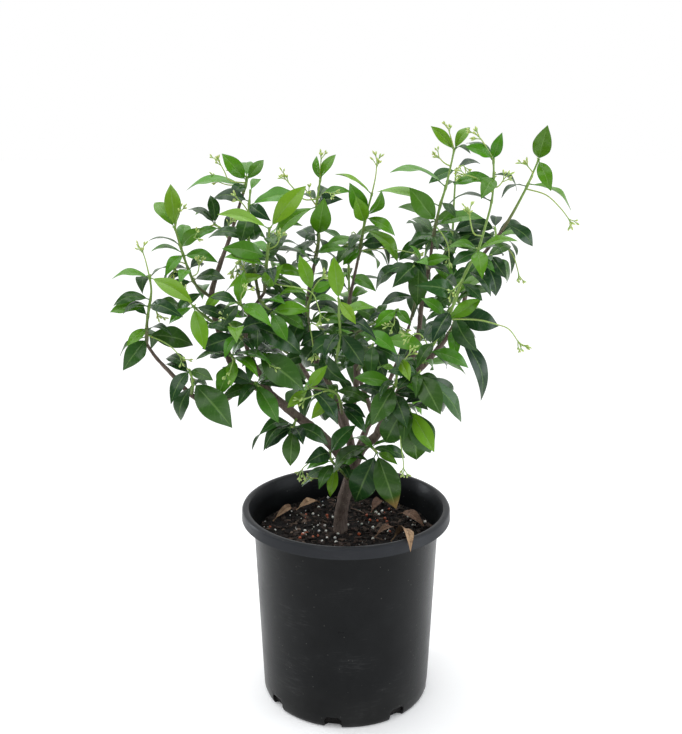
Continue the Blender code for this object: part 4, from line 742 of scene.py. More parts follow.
class Leaf:
    """One leaf: where it is rooted, where its tip is, and which way its upper face looks."""

    def __init__(self, foot, tip, facing, age, ratio):
        self.foot = foot
        self.axis = (tip - foot).normalized()
        self.length = (tip - foot).length
        self.age = age
        self.ratio = ratio
        self.up = (facing - self.axis * facing.dot(self.axis)).normalized()
        self.side = self.axis.cross(self.up)
        self.half = self.length * LEAF_RATIO[age] * ratio / 2
        self.arch = LEAF_ARCH[age]
        self.fold = LEAF_FOLD[age]

    def half_width(self, u):
        outline = math.sin(math.pi * u**LEAF_BROADEST) ** LEAF_FULLNESS if 0 < u < 1 else 0.0
        return max(PETIOLE_HALF, self.half * outline)

    def slope(self, u):
        return self.arch * (4 - 8 * u)

    def normal(self, u):
        return (self.up - self.axis * self.slope(u)).normalized()

    def rise(self, u):
        return self.arch * 4 * u * (1 - u)

    def point(self, u, v):
        """The place at share u of the length, and v, from -1 to 1, across."""
        reach = self.half_width(u) * v
        centre = self.foot + (self.axis * u + self.up * self.rise(u)) * self.length
        flat = self.side * reach * math.cos(self.fold)
        return centre + flat + self.normal(u) * abs(reach) * math.sin(self.fold)

    def surface(self):
        """Points and triangles of the blade, from its root to its tip."""
        stations = STATIONS[(self.length > SMALL_LEAF) + (self.half > LARGE_HALF)]
        points = [self.point(0, 0)]
        for u in stations:
            points += [self.point(u, v) for v in (-1, 0, 1)]
        points.append(self.point(1, 0))
        faces = [(0, 2, 1), (0, 3, 2)]
        last = 3 * len(stations) - 2
        for a in range(1, last, 3):
            faces += [(a, a + 1, a + 4), (a, a + 4, a + 3)]
            faces += [(a + 1, a + 2, a + 5), (a + 1, a + 5, a + 4)]
        faces += [(last, last + 1, last + 3), (last + 1, last + 2, last + 3)]
        return points, faces

    def sheets(self, thickness, rooted=True):
        """Both faces of the blade, thickness apart, without its root unless it is rooted."""
        points, faces = self.surface()
        if not rooted:
            points[0] = points[0].lerp(points[2], ROOT_LEFT_OUT)
        half = self.up * thickness / 2
        count = len(points)
        both = [p + half for p in points] + [p - half for p in points]
        return both, faces + [tuple(i + count for i in face) for face in faces]


class Stem:
    """A leafy stem: its line, the leaves asked of it, its flower stalks, and how much the wood hides."""

    def __init__(self, wood, line, asked, stalks):
        self.line = line
        self.length = length_of(line)
        self.asked = asked
        self.stalks = stalks
        self.hidden = self.in_wood(wood)

    def in_wood(self, wood):
        """The distance at which the stem's foot has left the branches, with a gap."""
        way = (self.line[1] - self.line[0]).normalized()
        ring = [swung(*square_to(way), turn) * STEM_FOOT for turn in turns(FOOT_CORNERS)]
        foot = [Vector(), *[v * FOOT_ROOM for v in ring], *[v + way * BLADE for v in ring]]
        distance = 0.0
        while any(is_near(wood, point_at(self.line, distance) + corner) for corner in foot):
            distance += SHORTEST
        return distance

    def root(self, distance):
        """The point at a distance along the stem, kept clear of the wood and of its tip."""
        distance = max(distance, self.hidden + ROOT_FROM_END)
        return point_at(self.line, min(distance, self.length - ROOT_FROM_END))


def is_near(wood, point):
    """Whether a point is inside the wood, or within a gap of it."""
    nearest, normal, _face, distance = wood.find_nearest(point)
    return distance < GAP or (point - nearest).dot(normal) < 0


class Space:
    """The room that is taken, so that a new leaf can be bent clear of it."""

    def __init__(self):
        self.taken = []

    def add(self, owner, points, faces):
        self.taken.append((owner, BVHTree.FromPolygons(points, faces), *box_of(points)))

    def is_clear(self, owner, leaf):
        """Whether a leaf meets nothing but its own stem, and its own stem's leaves only at its root."""
        points, faces = leaf.sheets(BLADE + 2 * CLEARANCE)
        low, high = box_of(points)
        whole = BVHTree.FromPolygons(points, faces)
        past_root = BVHTree.FromPolygons(*leaf.sheets(BLADE + 2 * CLEARANCE, False))
        for other, taken, from_low, from_high in self.taken:
            if other == owner + STEM_ROD:
                continue
            if any(low[i] > from_high[i] or high[i] < from_low[i] for i in range(3)):
                continue
            if (past_root if other == owner else whole).overlap(taken):
                return False
        return True


def points_and_faces(mesh):
    return [v.co.copy() for v in mesh.vertices], [tuple(p.vertices) for p in mesh.polygons]


def box_of(points):
    return [[edge(p[i] for p in points) for i in range(3)] for edge in (min, max)]


def tries():
    """Changes to a leaf in the order that they are tried: share of length, tip's shift and turn, roll."""
    for share in LEAF_SHARES:
        for nudge in NUDGES:
            for turn in turns(NUDGE_TURNS) if nudge else [0.0]:
                for roll in ROLLS:
                    yield share, nudge * MM, turn, math.radians(roll)


def placed_leaf(space, owner, asked):
    """The leaf nearest to the one asked for that touches nothing, or None."""
    for share, nudge, turn, roll in tries():
        shift = swung(asked.side, asked.up, turn) * nudge
        tip = (asked.axis * asked.length + shift).normalized() * asked.length * share
        facing = swung(asked.up, asked.side, roll)
        leaf = Leaf(asked.foot, asked.foot + tip, facing, asked.age, asked.ratio)
        if space.is_clear(owner, leaf):
            space.add(owner, *leaf.sheets(BLADE))
            return leaf
    return None


def facing_of(foot, share):
    """Which way a leaf looks: share 1 to the eye, share 0 to the sky."""
    return UP * (1 - share) + (EYE - foot).normalized() * share


def asked_leaf(line, place, across, height, deeper, share, age=MATURE):
    """A leaf's distance along its stem, its tip, where it looks, its age and its breadth."""
    distance = distance_to(line, place)
    foot = point_at(line, distance)
    foot_depth = (foot.y - EYE.y) / -EYE.y
    tip = on_board((across, height, (foot_depth - 1) * -EYE.y / MM + deeper))
    ratio = 1 + (BROAD - 1) * max(0.0, share - 0.5) * 2
    return distance, tip, facing_of(foot, share), age, ratio


def stalks_of(line, rows):
    return [(distance_to(line, at), line_of(route)) for at, route in rows]


def rear_stem(draw, wood_line, share, heading, rise, length, pairs):
    """A stem on the far side, with pairs of leaves that turn a quarter round it at each node."""
    foot = point_at(wood_line, length_of(wood_line) * share)
    flat = Vector((*on_circle(1, math.radians(heading)), 0))
    way = swung(flat, UP, math.radians(rise))
    reach = way * length * MM
    line = [foot, foot + reach / 2, foot + reach + UP * (length * MM * REAR_LIFT)]
    across = flat.cross(UP)
    over = across.cross(way)
    to_sky, outward, onward = REAR_FACING
    asked = []
    for k in range(pairs):
        distance = length_of(line) * (k + 1) / pairs
        for side in (-1, 1):
            aim = swung(way, (across if k % 2 else over) * side, REAR_SPREAD)
            tip = point_at(line, distance) + aim * (REAR_LEAF * draw.uniform(*REAR_SIZES))
            facing = UP * to_sky + flat * outward + way * onward
            asked.append((distance, tip, facing, YOUNG if k == pairs - 1 else MATURE, 1.0))
    return line, asked, []


def planned_stems(wood):
    """Each leafy stem under its name."""
    stems = {}
    for name, places, leaves, *stalks in STEMS:
        line = line_of(places)
        asked = [asked_leaf(line, *leaf) for leaf in leaves]
        stems[name] = Stem(wood, line, asked, stalks_of(line, stalks))
    draw = random.Random(SEED)
    lines = {row[0]: line_of(row[3]) for row in BRANCHES}
    for name, branch, *rule in REAR_STEMS:
        stems[name] = Stem(wood, *rear_stem(draw, lines[branch], *rule))
    return stems


def taken_space(stems):
    """The room that pot, compost, wood, stems and flower stalks take."""
    space = Space()
    for name in ("pot", "soil", "trunk"):
        space.add(name, *points_and_faces(frame["nodes"][name].data))
    for name, stem in stems.items():
        own = stretch(stem.line, stem.hidden, stem.length)
        rods = [rod(own, taper(len(own), STEM_FOOT, STEM_TIP))]
        rods += [stalk_rod(stem.root(distance), route) for distance, route in stem.stalks]
        for mesh in rods:
            space.add(name + STEM_ROD, *points_and_faces(mesh))
    return space


def placed_leaves(space, stems):
    """Every leaf in its place, the largest first, under its stem's name."""
    wanted = []
    for name, stem in stems.items():
        for distance, *rest in stem.asked:
            wanted.append((name, Leaf(stem.root(distance), *rest)))
    rear = {row[0] for row in REAR_STEMS}
    wanted.sort(key=lambda row: (row[0] in rear, -row[1].length * row[1].ratio))
    placed = {name: [] for name in stems}
    for name, asked in wanted:
        leaf = placed_leaf(space, name, asked)
        if leaf:
            placed[name].append(leaf)
    return placed


def more_leaves(space, name, stem, draw):
    """Smaller leaves that fill a stem out, each clear of all that is there."""
    found = []
    for _ in range(round(MORE_LEAVES * (0.5 + stem.length / MORE_FOR))):
        for _ in range(MORE_TRIES):
            foot = stem.root(stem.hidden + ROOT_FROM_END + (stem.length - stem.hidden) * draw.random())
            flat = on_circle(1, draw.uniform(0, math.tau))
            aim = Vector((*flat, draw.uniform(*MORE_RISE))).normalized()
            tip = foot + aim * draw.uniform(*MORE_LENGTHS)
            age = draw.choice((YOUNG, MATURE, MATURE, MATURE))
            leaf = Leaf(foot, tip, facing_of(foot, draw.uniform(*MORE_FACING)), age, MORE_RATIO)
            if foot.z < MORE_BELOW and inside_cad(tip) and space.is_clear(name, leaf):
                space.add(name, *leaf.sheets(BLADE))
                found.append(leaf)
                break
    return found


def inside_cad(place):
    low, high = cad_box
    return all(low[i] < place[i] < high[i] for i in range(3)) and place.z > SOIL_TOP + MORE_ABOVE_SOIL


class Shape:
    """A mesh under construction. Each point has a place on its leaf or stem, and each face a look."""

    def __init__(self):
        self.points = []
        self.places = []
        self.faces = []
        self.slots = []
        self.looks = []

    def point(self, place, where=(0.0, 0.0, 0.0)):
        self.points.append(place)
        self.places.append(where)
        return len(self.points) - 1

    def face(self, corners, slot, look):
        self.faces.append(corners)
        self.slots.append(slot)
        self.looks.append(look)

    def made(self, name, *materials):
        mesh = bpy.data.meshes.new(name)
        mesh.from_pydata(self.points, [], self.faces)
        mesh.update()
        for attribute, domain, rows in (("place", "POINT", self.places), ("look", "FACE", self.looks)):
            layer = mesh.attributes.new(attribute, "FLOAT_VECTOR", domain)
            layer.data.foreach_set("vector", [x for row in rows for x in row])
        mesh.polygons.foreach_set("material_index", self.slots)
        mesh.shade_smooth()
        mesh.set_sharp_from_angle(angle=SHARP)
        for item in materials:
            mesh.materials.append(item)
        return new_object(name, mesh, plant)


def frames_along(line):
    """A pair of directions across a line at each of its points, without twist."""
    across = (line[1] - line[0]).normalized().orthogonal().normalized()
    pairs = []
    for i in range(len(line)):
        way = (line[min(i + 1, len(line) - 1)] - line[max(i - 1, 0)]).normalized()
        across = (across - way * across.dot(way)).normalized()
        pairs.append((across, way.cross(across)))
    return pairs


def add_tube(shape, line, radii, sides, slot, look, greens=(0.0, 1.0)):
    """A closed tube along a line. Its place runs from one share of green to the other."""
    rings = []
    last = len(line) - 1
    for i, (place, radius, (a, b)) in enumerate(zip(line, radii, frames_along(line))):
        green = greens[0] + (greens[1] - greens[0]) * i / last
        ring = []
        for k, turn in enumerate(turns(sides)):
            ring.append(shape.point(place + swung(a, b, turn) * radius, (k / sides, green, i / last)))
        rings.append(ring)
    for low, high in zip(rings, rings[1:]):
        for k in range(sides):
            n = (k + 1) % sides
            shape.face((low[k], low[n], high[n], high[k]), slot, look)
    shape.face(tuple(reversed(rings[0])), slot, look)
    shape.face(tuple(rings[-1]), slot, look)


def blade_half(leaf, u):
    """Half the blade's breadth at share u of the whole leaf."""
    t = (u - BLADE_FROM) / (1 - BLADE_FROM)
    if not 0 < t < 1:
        return 0.0
    return BREADTH[leaf.age] * leaf.half * math.sin(math.pi * t**BROADEST) ** (FULLNESS + POINTED * t**3)


def blade_point(leaf, bend, u, v=0):
    """The place on the middle of the fine blade at share u of its length and v across."""
    curl, wave, phase, twist = bend
    way = (leaf.axis + leaf.up * leaf.slope(u)).normalized()
    normal = leaf.normal(u)
    rise = leaf.rise(u) - curl * max(0.0, u - CURLS_FROM) ** 2
    half = blade_half(leaf, u)
    reach = half * v
    turn = twist * (u - TWISTS_ABOUT)
    fold = math.sin(leaf.fold) * (1 - FLATTER * abs(v))
    travelled = (WAVES_RIGHT if v > 0 else WAVES_LEFT) * WAVES * math.pi * u
    ripple = wave * v * v * math.sin(phase + travelled)
    lift = abs(reach) * fold + ripple * half
    centre = leaf.foot + (leaf.axis * u + leaf.up * rise) * leaf.length
    flat = swung(leaf.side, normal, turn) * reach * math.cos(leaf.fold)
    return centre + flat + swung(normal, -leaf.side, turn) * lift - way * SWEEP * abs(reach) * abs(v)


def fresh_bend(leaf, draw):
    """How a living leaf bends: the curl of its tip, its ripples and their phase, and its twist."""
    curl = CURL[leaf.age] * draw.uniform(*CURLS)
    return curl, draw.uniform(*RIPPLES), draw.uniform(0, math.tau), draw.uniform(*TWISTS)


def dry_bend(curl, twist, draw):
    return curl, draw.uniform(*DRY_RIPPLES), draw.uniform(0, math.tau), twist


def add_blade(shape, leaf, draw, slot, tone, bend, browned=False):
    """A thin closed blade with a sunken midrib, rippled margins and a curled tip, on its stalk."""
    chance = 1.0 if browned else CHANCE * draw.random()
    upper, lower = (tone, chance, 0.0), (tone, chance, 1.0)
    last = len(ACROSS) - 1
    tops, unders = [], []
    for k in range(1, LEAF_ROWS):
        u = BLADE_FROM + (1 - BLADE_FROM) * k / LEAF_ROWS
        middle = [blade_point(leaf, bend, u, v) for v in ACROSS]
        top, under = [], []
        for c, (v, place) in enumerate(zip(ACROSS, middle)):
            across = middle[min(c + 1, last)] - middle[max(c - 1, 0)]
            normal = across.cross(blade_point(leaf, bend, u + NEXT, v) - place).normalized()
            rib = MIDRIB_DEEP * (1 - u) if abs(v) < MIDRIB_REACH else 0.0
            where = (v, u, leaf.length)
            top.append(shape.point(place + normal * (SHEET / 2 - rib), where))
            inner = 0 < c < last
            under.append(shape.point(place - normal * (SHEET / 2 + rib), where) if inner else top[-1])
        tops.append(top)
        unders.append(under)
    for (a, b), (p, q) in zip(zip(tops, tops[1:]), zip(unders, unders[1:])):
        for c in range(last):
            shape.face((a[c], a[c + 1], b[c + 1], b[c]), slot, upper)
            shape.face((p[c + 1], p[c], q[c], q[c + 1]), slot, lower)
    root, tip = [shape.point(blade_point(leaf, bend, u), (0.0, u, leaf.length)) for u in (BLADE_FROM, 1.0)]
    for c in range(last):
        shape.face((root, tops[0][c + 1], tops[0][c]), slot, upper)
        shape.face((root, unders[0][c], unders[0][c + 1]), slot, lower)
        shape.face((tip, tops[-1][c], tops[-1][c + 1]), slot, upper)
        shape.face((tip, unders[-1][c + 1], unders[-1][c]), slot, lower)
    shares = [BLADE_FROM * k / STALK_ROOTS for k in range(STALK_ROOTS)]
    shares += [BLADE_FROM * s for s in UNDER_BLADE]
    stalk = [blade_point(leaf, bend, share) for share in shares]
    stalk = [p - leaf.up * MIDRIB_DEEP * min(1, k / STALK_ROOTS) for k, p in enumerate(stalk)]
    radii = [STALK_HALF * s for s in STALK_RADII]
    add_tube(shape, stalk, radii, STALK_SIDES, slot, (min(1.0, tone * STALK_TONE), chance, 1.0))


def swollen(line, foot, tip, feet):
    """Radii that taper along a line and swell at the distances where leaves are rooted."""
    radii = []
    walked = 0.0
    whole = length_of(line)
    for i, place in enumerate(line):
        walked += (place - line[i - 1]).length if i else 0.0
        swell = sum(math.exp(-(((walked - d) / NODE_LENGTH) ** 2)) for d in feet)
        radii.append(foot + (tip - foot) * walked / whole + NODE_SWELL * min(1.0, swell))
    return radii


def random_vector(draw, low, high):
    return Vector((draw.uniform(low, high), draw.uniform(low, high), draw.uniform(low, high)))


def add_bud(shape, foot, way, length, radius, draw):
    """A slim pointed bud on a short stalk."""
    bend = random_vector(draw, -1, 1) * BUD_BEND
    line = [foot + (way + bend * s) * length * s for s, _r in BUD_SHAPE]
    radii = [radius * r for _s, r in BUD_SHAPE]
    add_tube(shape, line, radii, BUD_SIDES, BUD_SLOT, (draw.random(), draw.random(), 0.0))


def fanned(way, count, draw, spread):
    """Directions that spread round a way."""
    side, over = square_to(way)
    turn = draw.uniform(0, math.tau)
    aims = []
    for _ in range(count):
        turn += FAN_TURN
        lean = spread * draw.uniform(*FAN_LEAN)
        aims.append((way + swung(side, over, turn) * lean).normalized())
    return aims


def add_cluster(shape, route, draw, forks):
    """A flower stalk that forks into small heads of buds."""
    line = evenly(smooth(route, LINE_STEPS), STALK_STEP)
    radii = [STALK * (1.0 - STALK_TAPER * k / len(line)) for k in range(len(line))]
    add_tube(shape, line, radii, STALK_SIDES, BUD_SLOT, STALK_LOOK)
    way = (line[-1] - line[-3]).normalized()
    for k, aim in enumerate(fanned(way, forks, draw, FORK_SPREAD)):
        foot = line[-1] - way * FORK_EVERY * MM * k
        end = foot + aim * draw.uniform(*FORK_LENGTHS) * MM
        add_tube(shape, [foot, foot.lerp(end, 0.5), end], FORK_RADII, BUD_SIDES, BUD_SLOT, STALK_LOOK)
        for bud in fanned(aim, draw.choice(HEADS), draw, BUD_SPREAD):
            add_bud(shape, end, bud, draw.uniform(*BUD_LENGTHS) * MM, draw.uniform(*BUD_RADII) * MM, draw)


def dressed_stem(name, stem, leaves):
    """One leafy stem as a fine piece that stands for its node."""
    draw = random.Random(f"{SEED} {name}")
    shape = Shape()
    feet = [distance_on(stem.line, leaf.foot) for leaf in leaves]
    line = evenly(smooth(stem.line, LINE_STEPS), STEM_STEP)
    green_from = GREEN_FROM_LONG if stem.length > LONG_STEM else GREEN_FROM_SHORT
    greens = (GREENEST_FROM if name == GREENEST_STEM else green_from, GREEN_TO)
    radii = swollen(line, STEM_FINE_FOOT, STEM_FINE_TIP, feet)
    add_tube(shape, line, radii, STEM_SIDES, STEM_SLOT, (draw.random(), 0.0, 0.0), greens)
    max(leaves, key=lambda leaf: leaf.length).half *= SLIM_LONGEST.get(name, 1.0)
    for leaf in leaves:
        tip = leaf.foot + leaf.axis * leaf.length
        browned = name == BROWNED_STEM and leaf.age == YOUNG and tip.z < BROWNED_BELOW
        tone = draw.uniform(*TONE[MATURE if browned else leaf.age])
        add_blade(shape, leaf, draw, LEAF_SLOT, tone, fresh_bend(leaf, draw), browned)
    for distance, route in stem.stalks + stalks_of(stem.line, MORE_SPRAYS.get(name, ())):
        forks = draw.choice(FORKS) if len(route) > 1 else 2
        add_cluster(shape, [stem.root(distance), *route], draw, forks)
    for distance in feet[::2]:
        place = point_at(stem.line, distance)
        aim = Vector((draw.uniform(-1, 1), draw.uniform(-1, 1), SIDE_RISE)).normalized()
        add_bud(shape, place, aim, *SIDE_BUD, draw)
    piece = shape.made(name + "_dressed", leaf_look, stem_look, bud_look)
    stand_for(piece, name)


def stand_for(piece, *nodes):
    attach(piece, "root")
    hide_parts(*nodes)


def dress_foliage():
    """Every leafy stem, its leaves bent clear of each other as in the frame."""
    stems = planned_stems(BVHTree.FromPolygons(*points_and_faces(frame["nodes"]["trunk"].data)))
    space = taken_space(stems)
    placed = placed_leaves(space, stems)
    draw = random.Random(SEED)
    for name, leaves in placed.items():
        leaves += more_leaves(space, name, stems[name], draw)
        dressed_stem(name, stems[name], leaves)


def dress_wood():
    """The trunk and branches as one barked piece."""
    shape = Shape()
    draw = random.Random(SEED)
    for name, foot, tip, places in BRANCHES:
        line = evenly(smooth(line_of(places), WOOD_STEPS), WOOD_STEP)
        radii = taper(len(line), foot * MM, tip * MM * WOOD_TIP)
        radii = [r * (1 + draw.uniform(-WOOD_UNEVEN, WOOD_UNEVEN)) for r in radii]
        flare = TRUNK_FLARE if name == "trunk" else BRANCH_FLARE
        radii[:2] = [radii[0] * flare, radii[1] * (flare + 1) / 2]
        add_tube(shape, line, radii, WOOD_SIDES, 0, (0, 0, 0))
    wood = shape.made("trunk_dressed", bark_look)
    add_modifier(wood, "REMESH", mode="VOXEL", voxel_size=BARK_VOXEL, use_smooth_shade=True)
    add_modifier(wood, "SMOOTH", iterations=BARK_SOFTER)
    apply_modifiers(wood)
    moved = []
    for vert in wood.data.vertices:
        ridges = noise.noise(Vector([c * scale for c, scale in zip(vert.co, BARK_RIDGES)]))
        knobs = noise.noise(vert.co * BARK_KNOBS)
        moved.extend(vert.co + vert.normal * BARK_ROUGH * (ridges * RIDGE_SHARE + knobs))
    wood.data.vertices.foreach_set("co", moved)
    wood.data.update()
    stand_for(wood, "trunk")


def pot_profile():
    """The pot's section as (radius, height), with a rolled rim and a smooth inside."""
    ledge = LIP - RIM_STEP
    outer_ledge = WALL_BASE_RADIUS + SLOPE * ledge
    band = NOTCH_HEIGHT + 3 * MM
    return [
        (0.0, FLOOR),
        (WALL_BASE_RADIUS - WALL - BASE_BEVEL / 2, FLOOR),
        (WALL_BASE_RADIUS - WALL, FLOOR + BASE_BEVEL / 2),
        (WALL_BASE_RADIUS - WALL + SLOPE * band, band),
        (outer_ledge - WALL - SLOPE * 14 * MM, ledge - 14 * MM),
        (outer_ledge - WALL + 1.2 * MM, ledge - 3 * MM),
        (RIM_INNER - 3 * MM, POT_HEIGHT - 9 * MM),
        (RIM_INNER - 0.6 * MM, POT_HEIGHT - 3 * MM),
        (RIM_INNER + 0.5 * MM, POT_HEIGHT - 0.8 * MM),
        (RIM_INNER + 2 * MM, POT_HEIGHT),
        (RIM_RADIUS - 3 * MM, POT_HEIGHT),
        (RIM_RADIUS - 1.2 * MM, POT_HEIGHT - 0.7 * MM),
        (RIM_RADIUS - 0.3 * MM, POT_HEIGHT - 2.4 * MM),
        (RIM_RADIUS - 0.4 * MM, LIP + 2 * MM),
        (RIM_RADIUS, LIP + 1.2 * MM),
        (RIM_RADIUS, LIP),
        (RIM_RADIUS - WALL, LIP),
        (RIM_RADIUS - WALL, POT_HEIGHT - WALL - EDGE),
        (RIM_INNER + WALL - EDGE, ledge + RIM_STEP),
        (outer_ledge, ledge - EDGE),
        (WALL_BASE_RADIUS + SLOPE * band, band),
        (WALL_BASE_RADIUS + SLOPE * BASE_BEVEL, BASE_BEVEL),
        (WALL_BASE_RADIUS - BASE_BEVEL / 4, BASE_BEVEL / 4),
        (WALL_BASE_RADIUS - BASE_BEVEL / 2, 0.0),
        (0.0, 0.0),
    ]


def turned(name, profile):
    """A profile of (radius, height) turned about Z, as an object."""
    mesh = bpy.data.meshes.new(name)
    edges = [(i, i + 1) for i in range(len(profile) - 1)]
    mesh.from_pydata([(r, 0.0, z) for r, z in profile], edges, [])
    outline = new_object(name, mesh)
    merge = {"use_merge_vertices": True, "merge_threshold": WELD}
    add_modifier(outline, "SCREW", steps=POT_SIDES, render_steps=POT_SIDES, **merge)
    solid = welded(evaluated_mesh(outline))
    bpy.data.objects.remove(outline)
    return new_object(name, solid, plant)


def notch_cutter(name, angle, collection):
    """A cutter for one drainage notch at the edge of the pot's base."""
    bm = bmesh.new()
    bmesh.ops.create_cube(bm, size=1.0)
    size = Vector((NOTCH_DEPTH, NOTCH_WIDTH, 2 * NOTCH_HEIGHT))
    bmesh.ops.scale(bm, vec=size, verts=bm.verts)
    mesh = bpy.data.meshes.new(name)
    bm.to_mesh(mesh)
    bm.free()
    cutter = new_object(name, mesh, collection)
    add_modifier(cutter, "BEVEL", width=NOTCH_CORNER, segments=1)
    cutter.location = (*on_circle(WALL_BASE_RADIUS, angle), 0.0)
    cutter.rotation_euler = (0, 0, angle)


def dress_pot():
    """The pot with soft edges and its notches cut."""
    pot = turned("pot_dressed", pot_profile())
    notches = bpy.data.collections.new("notches")
    bpy.context.scene.collection.children.link(notches)
    for k, turn in enumerate(turns(NOTCH_COUNT)):
        notch_cutter(f"notch_{k + 1}", NOTCH_TURN + turn, notches)
    add_modifier(pot, "BOOLEAN", operation="DIFFERENCE", operand_type="COLLECTION", collection=notches)
    add_modifier(pot, "BEVEL", width=SOFT_EDGE, segments=2, limit_method="ANGLE", angle_limit=SHARP)
    apply_modifiers(pot)
    for cutter in list(notches.objects):
        bpy.data.objects.remove(cutter)
    bpy.data.collections.remove(notches)
    pot.data.shade_smooth()
    pot.data.set_sharp_from_angle(angle=SHARP)
    pot.data.materials.append(pot_look)
    stand_for(pot, "pot")


def fine_ball():
    """Points and faces of a ball of 80 triangles."""
    bm = bmesh.new()
    bmesh.ops.create_icosphere(bm, subdivisions=2, radius=1.0)
    points = [v.co.copy() for v in bm.verts]
    faces = [tuple(v.index for v in f.verts) for f in bm.faces]
    bm.free()
    return points, faces


def add_lump(shape, centre, size, turn, jitter, slot, look, draw):
    """A ball stretched to a size, turned, and made uneven."""
    points, faces = ball
    seed = random_vector(draw, 0, FAR_APART)
    first = len(shape.points)
    for p in points:
        uneven = 1 + jitter * noise.noise(p * LUMPS + seed)
        place = Vector([p[i] * size[i] * uneven for i in range(3)])
        place.rotate(turn)
        shape.point(centre + place, (p.x, p.y, p.z))
    for face in faces:
        shape.face(tuple(i + first for i in face), slot, look)


def on_soil(x, y, rise=0.0):
    """The place on the compost's uneven surface at (x, y), or above it."""
    rough = sum(noise.noise(Vector((x, y, 0.0)) * close) * high for close, high in SWELLS)
    return Vector((x, y, SOIL_TOP + rough * MM * SWELL_HEIGHT + rise))


def anywhere(draw):
    """A place in the pot, at random."""
    turn = draw.uniform(0, math.tau)
    return on_circle(SOIL_REACH * math.sqrt(draw.random()), turn)


def as_seen(column, row):
    """The place on the compost that the camera sees at a pixel of the photograph."""
    ray = Vector((column - PHOTO_WIDTH / 2, PHOTO_HEIGHT / 2 - row, -LENS / SENSOR * PHOTO_HEIGHT))
    ray.rotate(Euler((CAMERA_TILT, 0.0, CAMERA_TURN)))
    place = EYE + ray * ((SOIL_TOP + MM - EYE.z) / ray.z)
    return place.x, place.y


def turn_of(draw, tilt):
    return Euler((draw.uniform(-tilt, tilt), draw.uniform(-tilt, tilt), draw.uniform(0, math.tau)))


def add_plug(shape):
    """The compost as one plug with an uneven top."""
    inner = WALL_BASE_RADIUS - WALL - GAP
    side = [(FLOOR + GAP, inner - BASE_BEVEL / 2 - GAP), (BASE_BEVEL, inner - GAP + SLOPE * BASE_BEVEL)]
    bottom = shape.point(Vector((0, 0, FLOOR + GAP)))
    rings = []
    for height, reach in side:
        rings.append([shape.point(Vector((*on_circle(reach, t), height))) for t in turns(SOIL_SPOKES)])
    for ring in range(SOIL_RINGS, 0, -1):
        reach = (inner + SLOPE * SOIL_TOP - GAP) * ring / SOIL_RINGS
        rings.append([shape.point(on_soil(*on_circle(reach, t))) for t in turns(SOIL_SPOKES)])
    top = shape.point(on_soil(0, 0))
    look = (0.0, 0.0, 0.0)
    for k in range(SOIL_SPOKES):
        n = (k + 1) % SOIL_SPOKES
        shape.face((bottom, rings[0][n], rings[0][k]), EARTH_SLOT, look)
        shape.face((rings[-1][k], rings[-1][n], top), EARTH_SLOT, look)
        for low, high in zip(rings, rings[1:]):
            shape.face((low[k], low[n], high[n], high[k]), EARTH_SLOT, look)


def add_crumb(shape, draw):
    place = anywhere(draw)
    size = draw.uniform(*CRUMB_RADII) * MM
    sizes = [size * draw.uniform(*CRUMB_UNEVEN) for _ in range(3)]
    turn = turn_of(draw, ANY_WAY)
    look = (draw.random(), draw.random(), 0)
    add_lump(shape, on_soil(*place, size * CRUMB_RISE), sizes, turn, JAGGED, CHIP_SLOT, look, draw)


def add_chip(shape, draw):
    place = anywhere(draw)
    sizes = [draw.uniform(*radii) * MM for radii in CHIP_RADII]
    look = (DARKEST_CHIP + CHIP_TONES * draw.random(), draw.random(), 1)
    turn = turn_of(draw, NEARLY_FLAT)
    add_lump(shape, on_soil(*place, CHIP_RISE), sizes, turn, WORN, CHIP_SLOT, look, draw)


def add_fibre(shape, draw):
    middle = [c * FIBRE_INSIDE for c in anywhere(draw)]
    turn, length = draw.uniform(0, math.tau), draw.uniform(*FIBRE_LENGTHS) * MM
    bend = draw.uniform(-FIBRE_BEND, FIBRE_BEND)
    line = []
    for s in FIBRE_PLACES:
        way = on_circle(length, turn + bend * s)
        place = [c + d * (s - 0.5) * FIBRE_SPAN for c, d in zip(middle, way)]
        line.append(on_soil(*place, draw.uniform(*FIBRE_LIFTS) * MM))
    line = smooth(line, FIBRE_STEPS)
    radii = [draw.uniform(*FIBRE_RADII) * MM] * len(line)
    add_tube(shape, line, radii, FIBRE_SIDES, CHIP_SLOT, (draw.random(), *TWIG_LOOK[1:]))


def add_grain(shape, draw, place, slot, radii, rise, flat, jitter):
    """A round grain whose centre stands a share of its radius above the compost."""
    size = draw.uniform(*radii) * MM
    turn = turn_of(draw, ANY_WAY)
    look = (draw.random(), 0, 0)
    add_lump(shape, on_soil(*place, size * rise), (size, size, size * flat), turn, jitter, slot, look, draw)


def dress_soil():
    """Compost with crumbs, bark chips, fibres, a twig, prills of plant food and grit."""
    shape = Shape()
    draw = random.Random(SEED)
    add_plug(shape)
    for add, count in ((add_crumb, CRUMBS), (add_chip, CHIPS), (add_fibre, FIBRES)):
        for _ in range(count):
            add(shape, draw)
    twig = smooth([Vector((*as_seen(*pixel), SOIL_TOP + TWIG_LIFT)) for pixel in TWIG_SEEN], TWIG_STEPS)
    add_tube(shape, twig, [TWIG_RADIUS] * len(twig), TWIG_SIDES, CHIP_SLOT, TWIG_LOOK)
    for seen, more, slot in ((WHITE_SEEN, MORE_WHITE, WHITE_SLOT), (ORANGE_SEEN, MORE_ORANGE, ORANGE_SLOT)):
        places = [as_seen(*pixel) for pixel in seen] + [anywhere(draw) for _ in range(more)]
        for place in places:
            add_grain(shape, draw, place, slot, *PRILL_SHAPE)
    for _ in range(GRIT):
        add_grain(shape, draw, anywhere(draw), WHITE_SLOT, *GRIT_SHAPE)
    soil = shape.made("soil_dressed", soil_look, chip_look, white_look, orange_look)
    stand_for(soil, "soil")


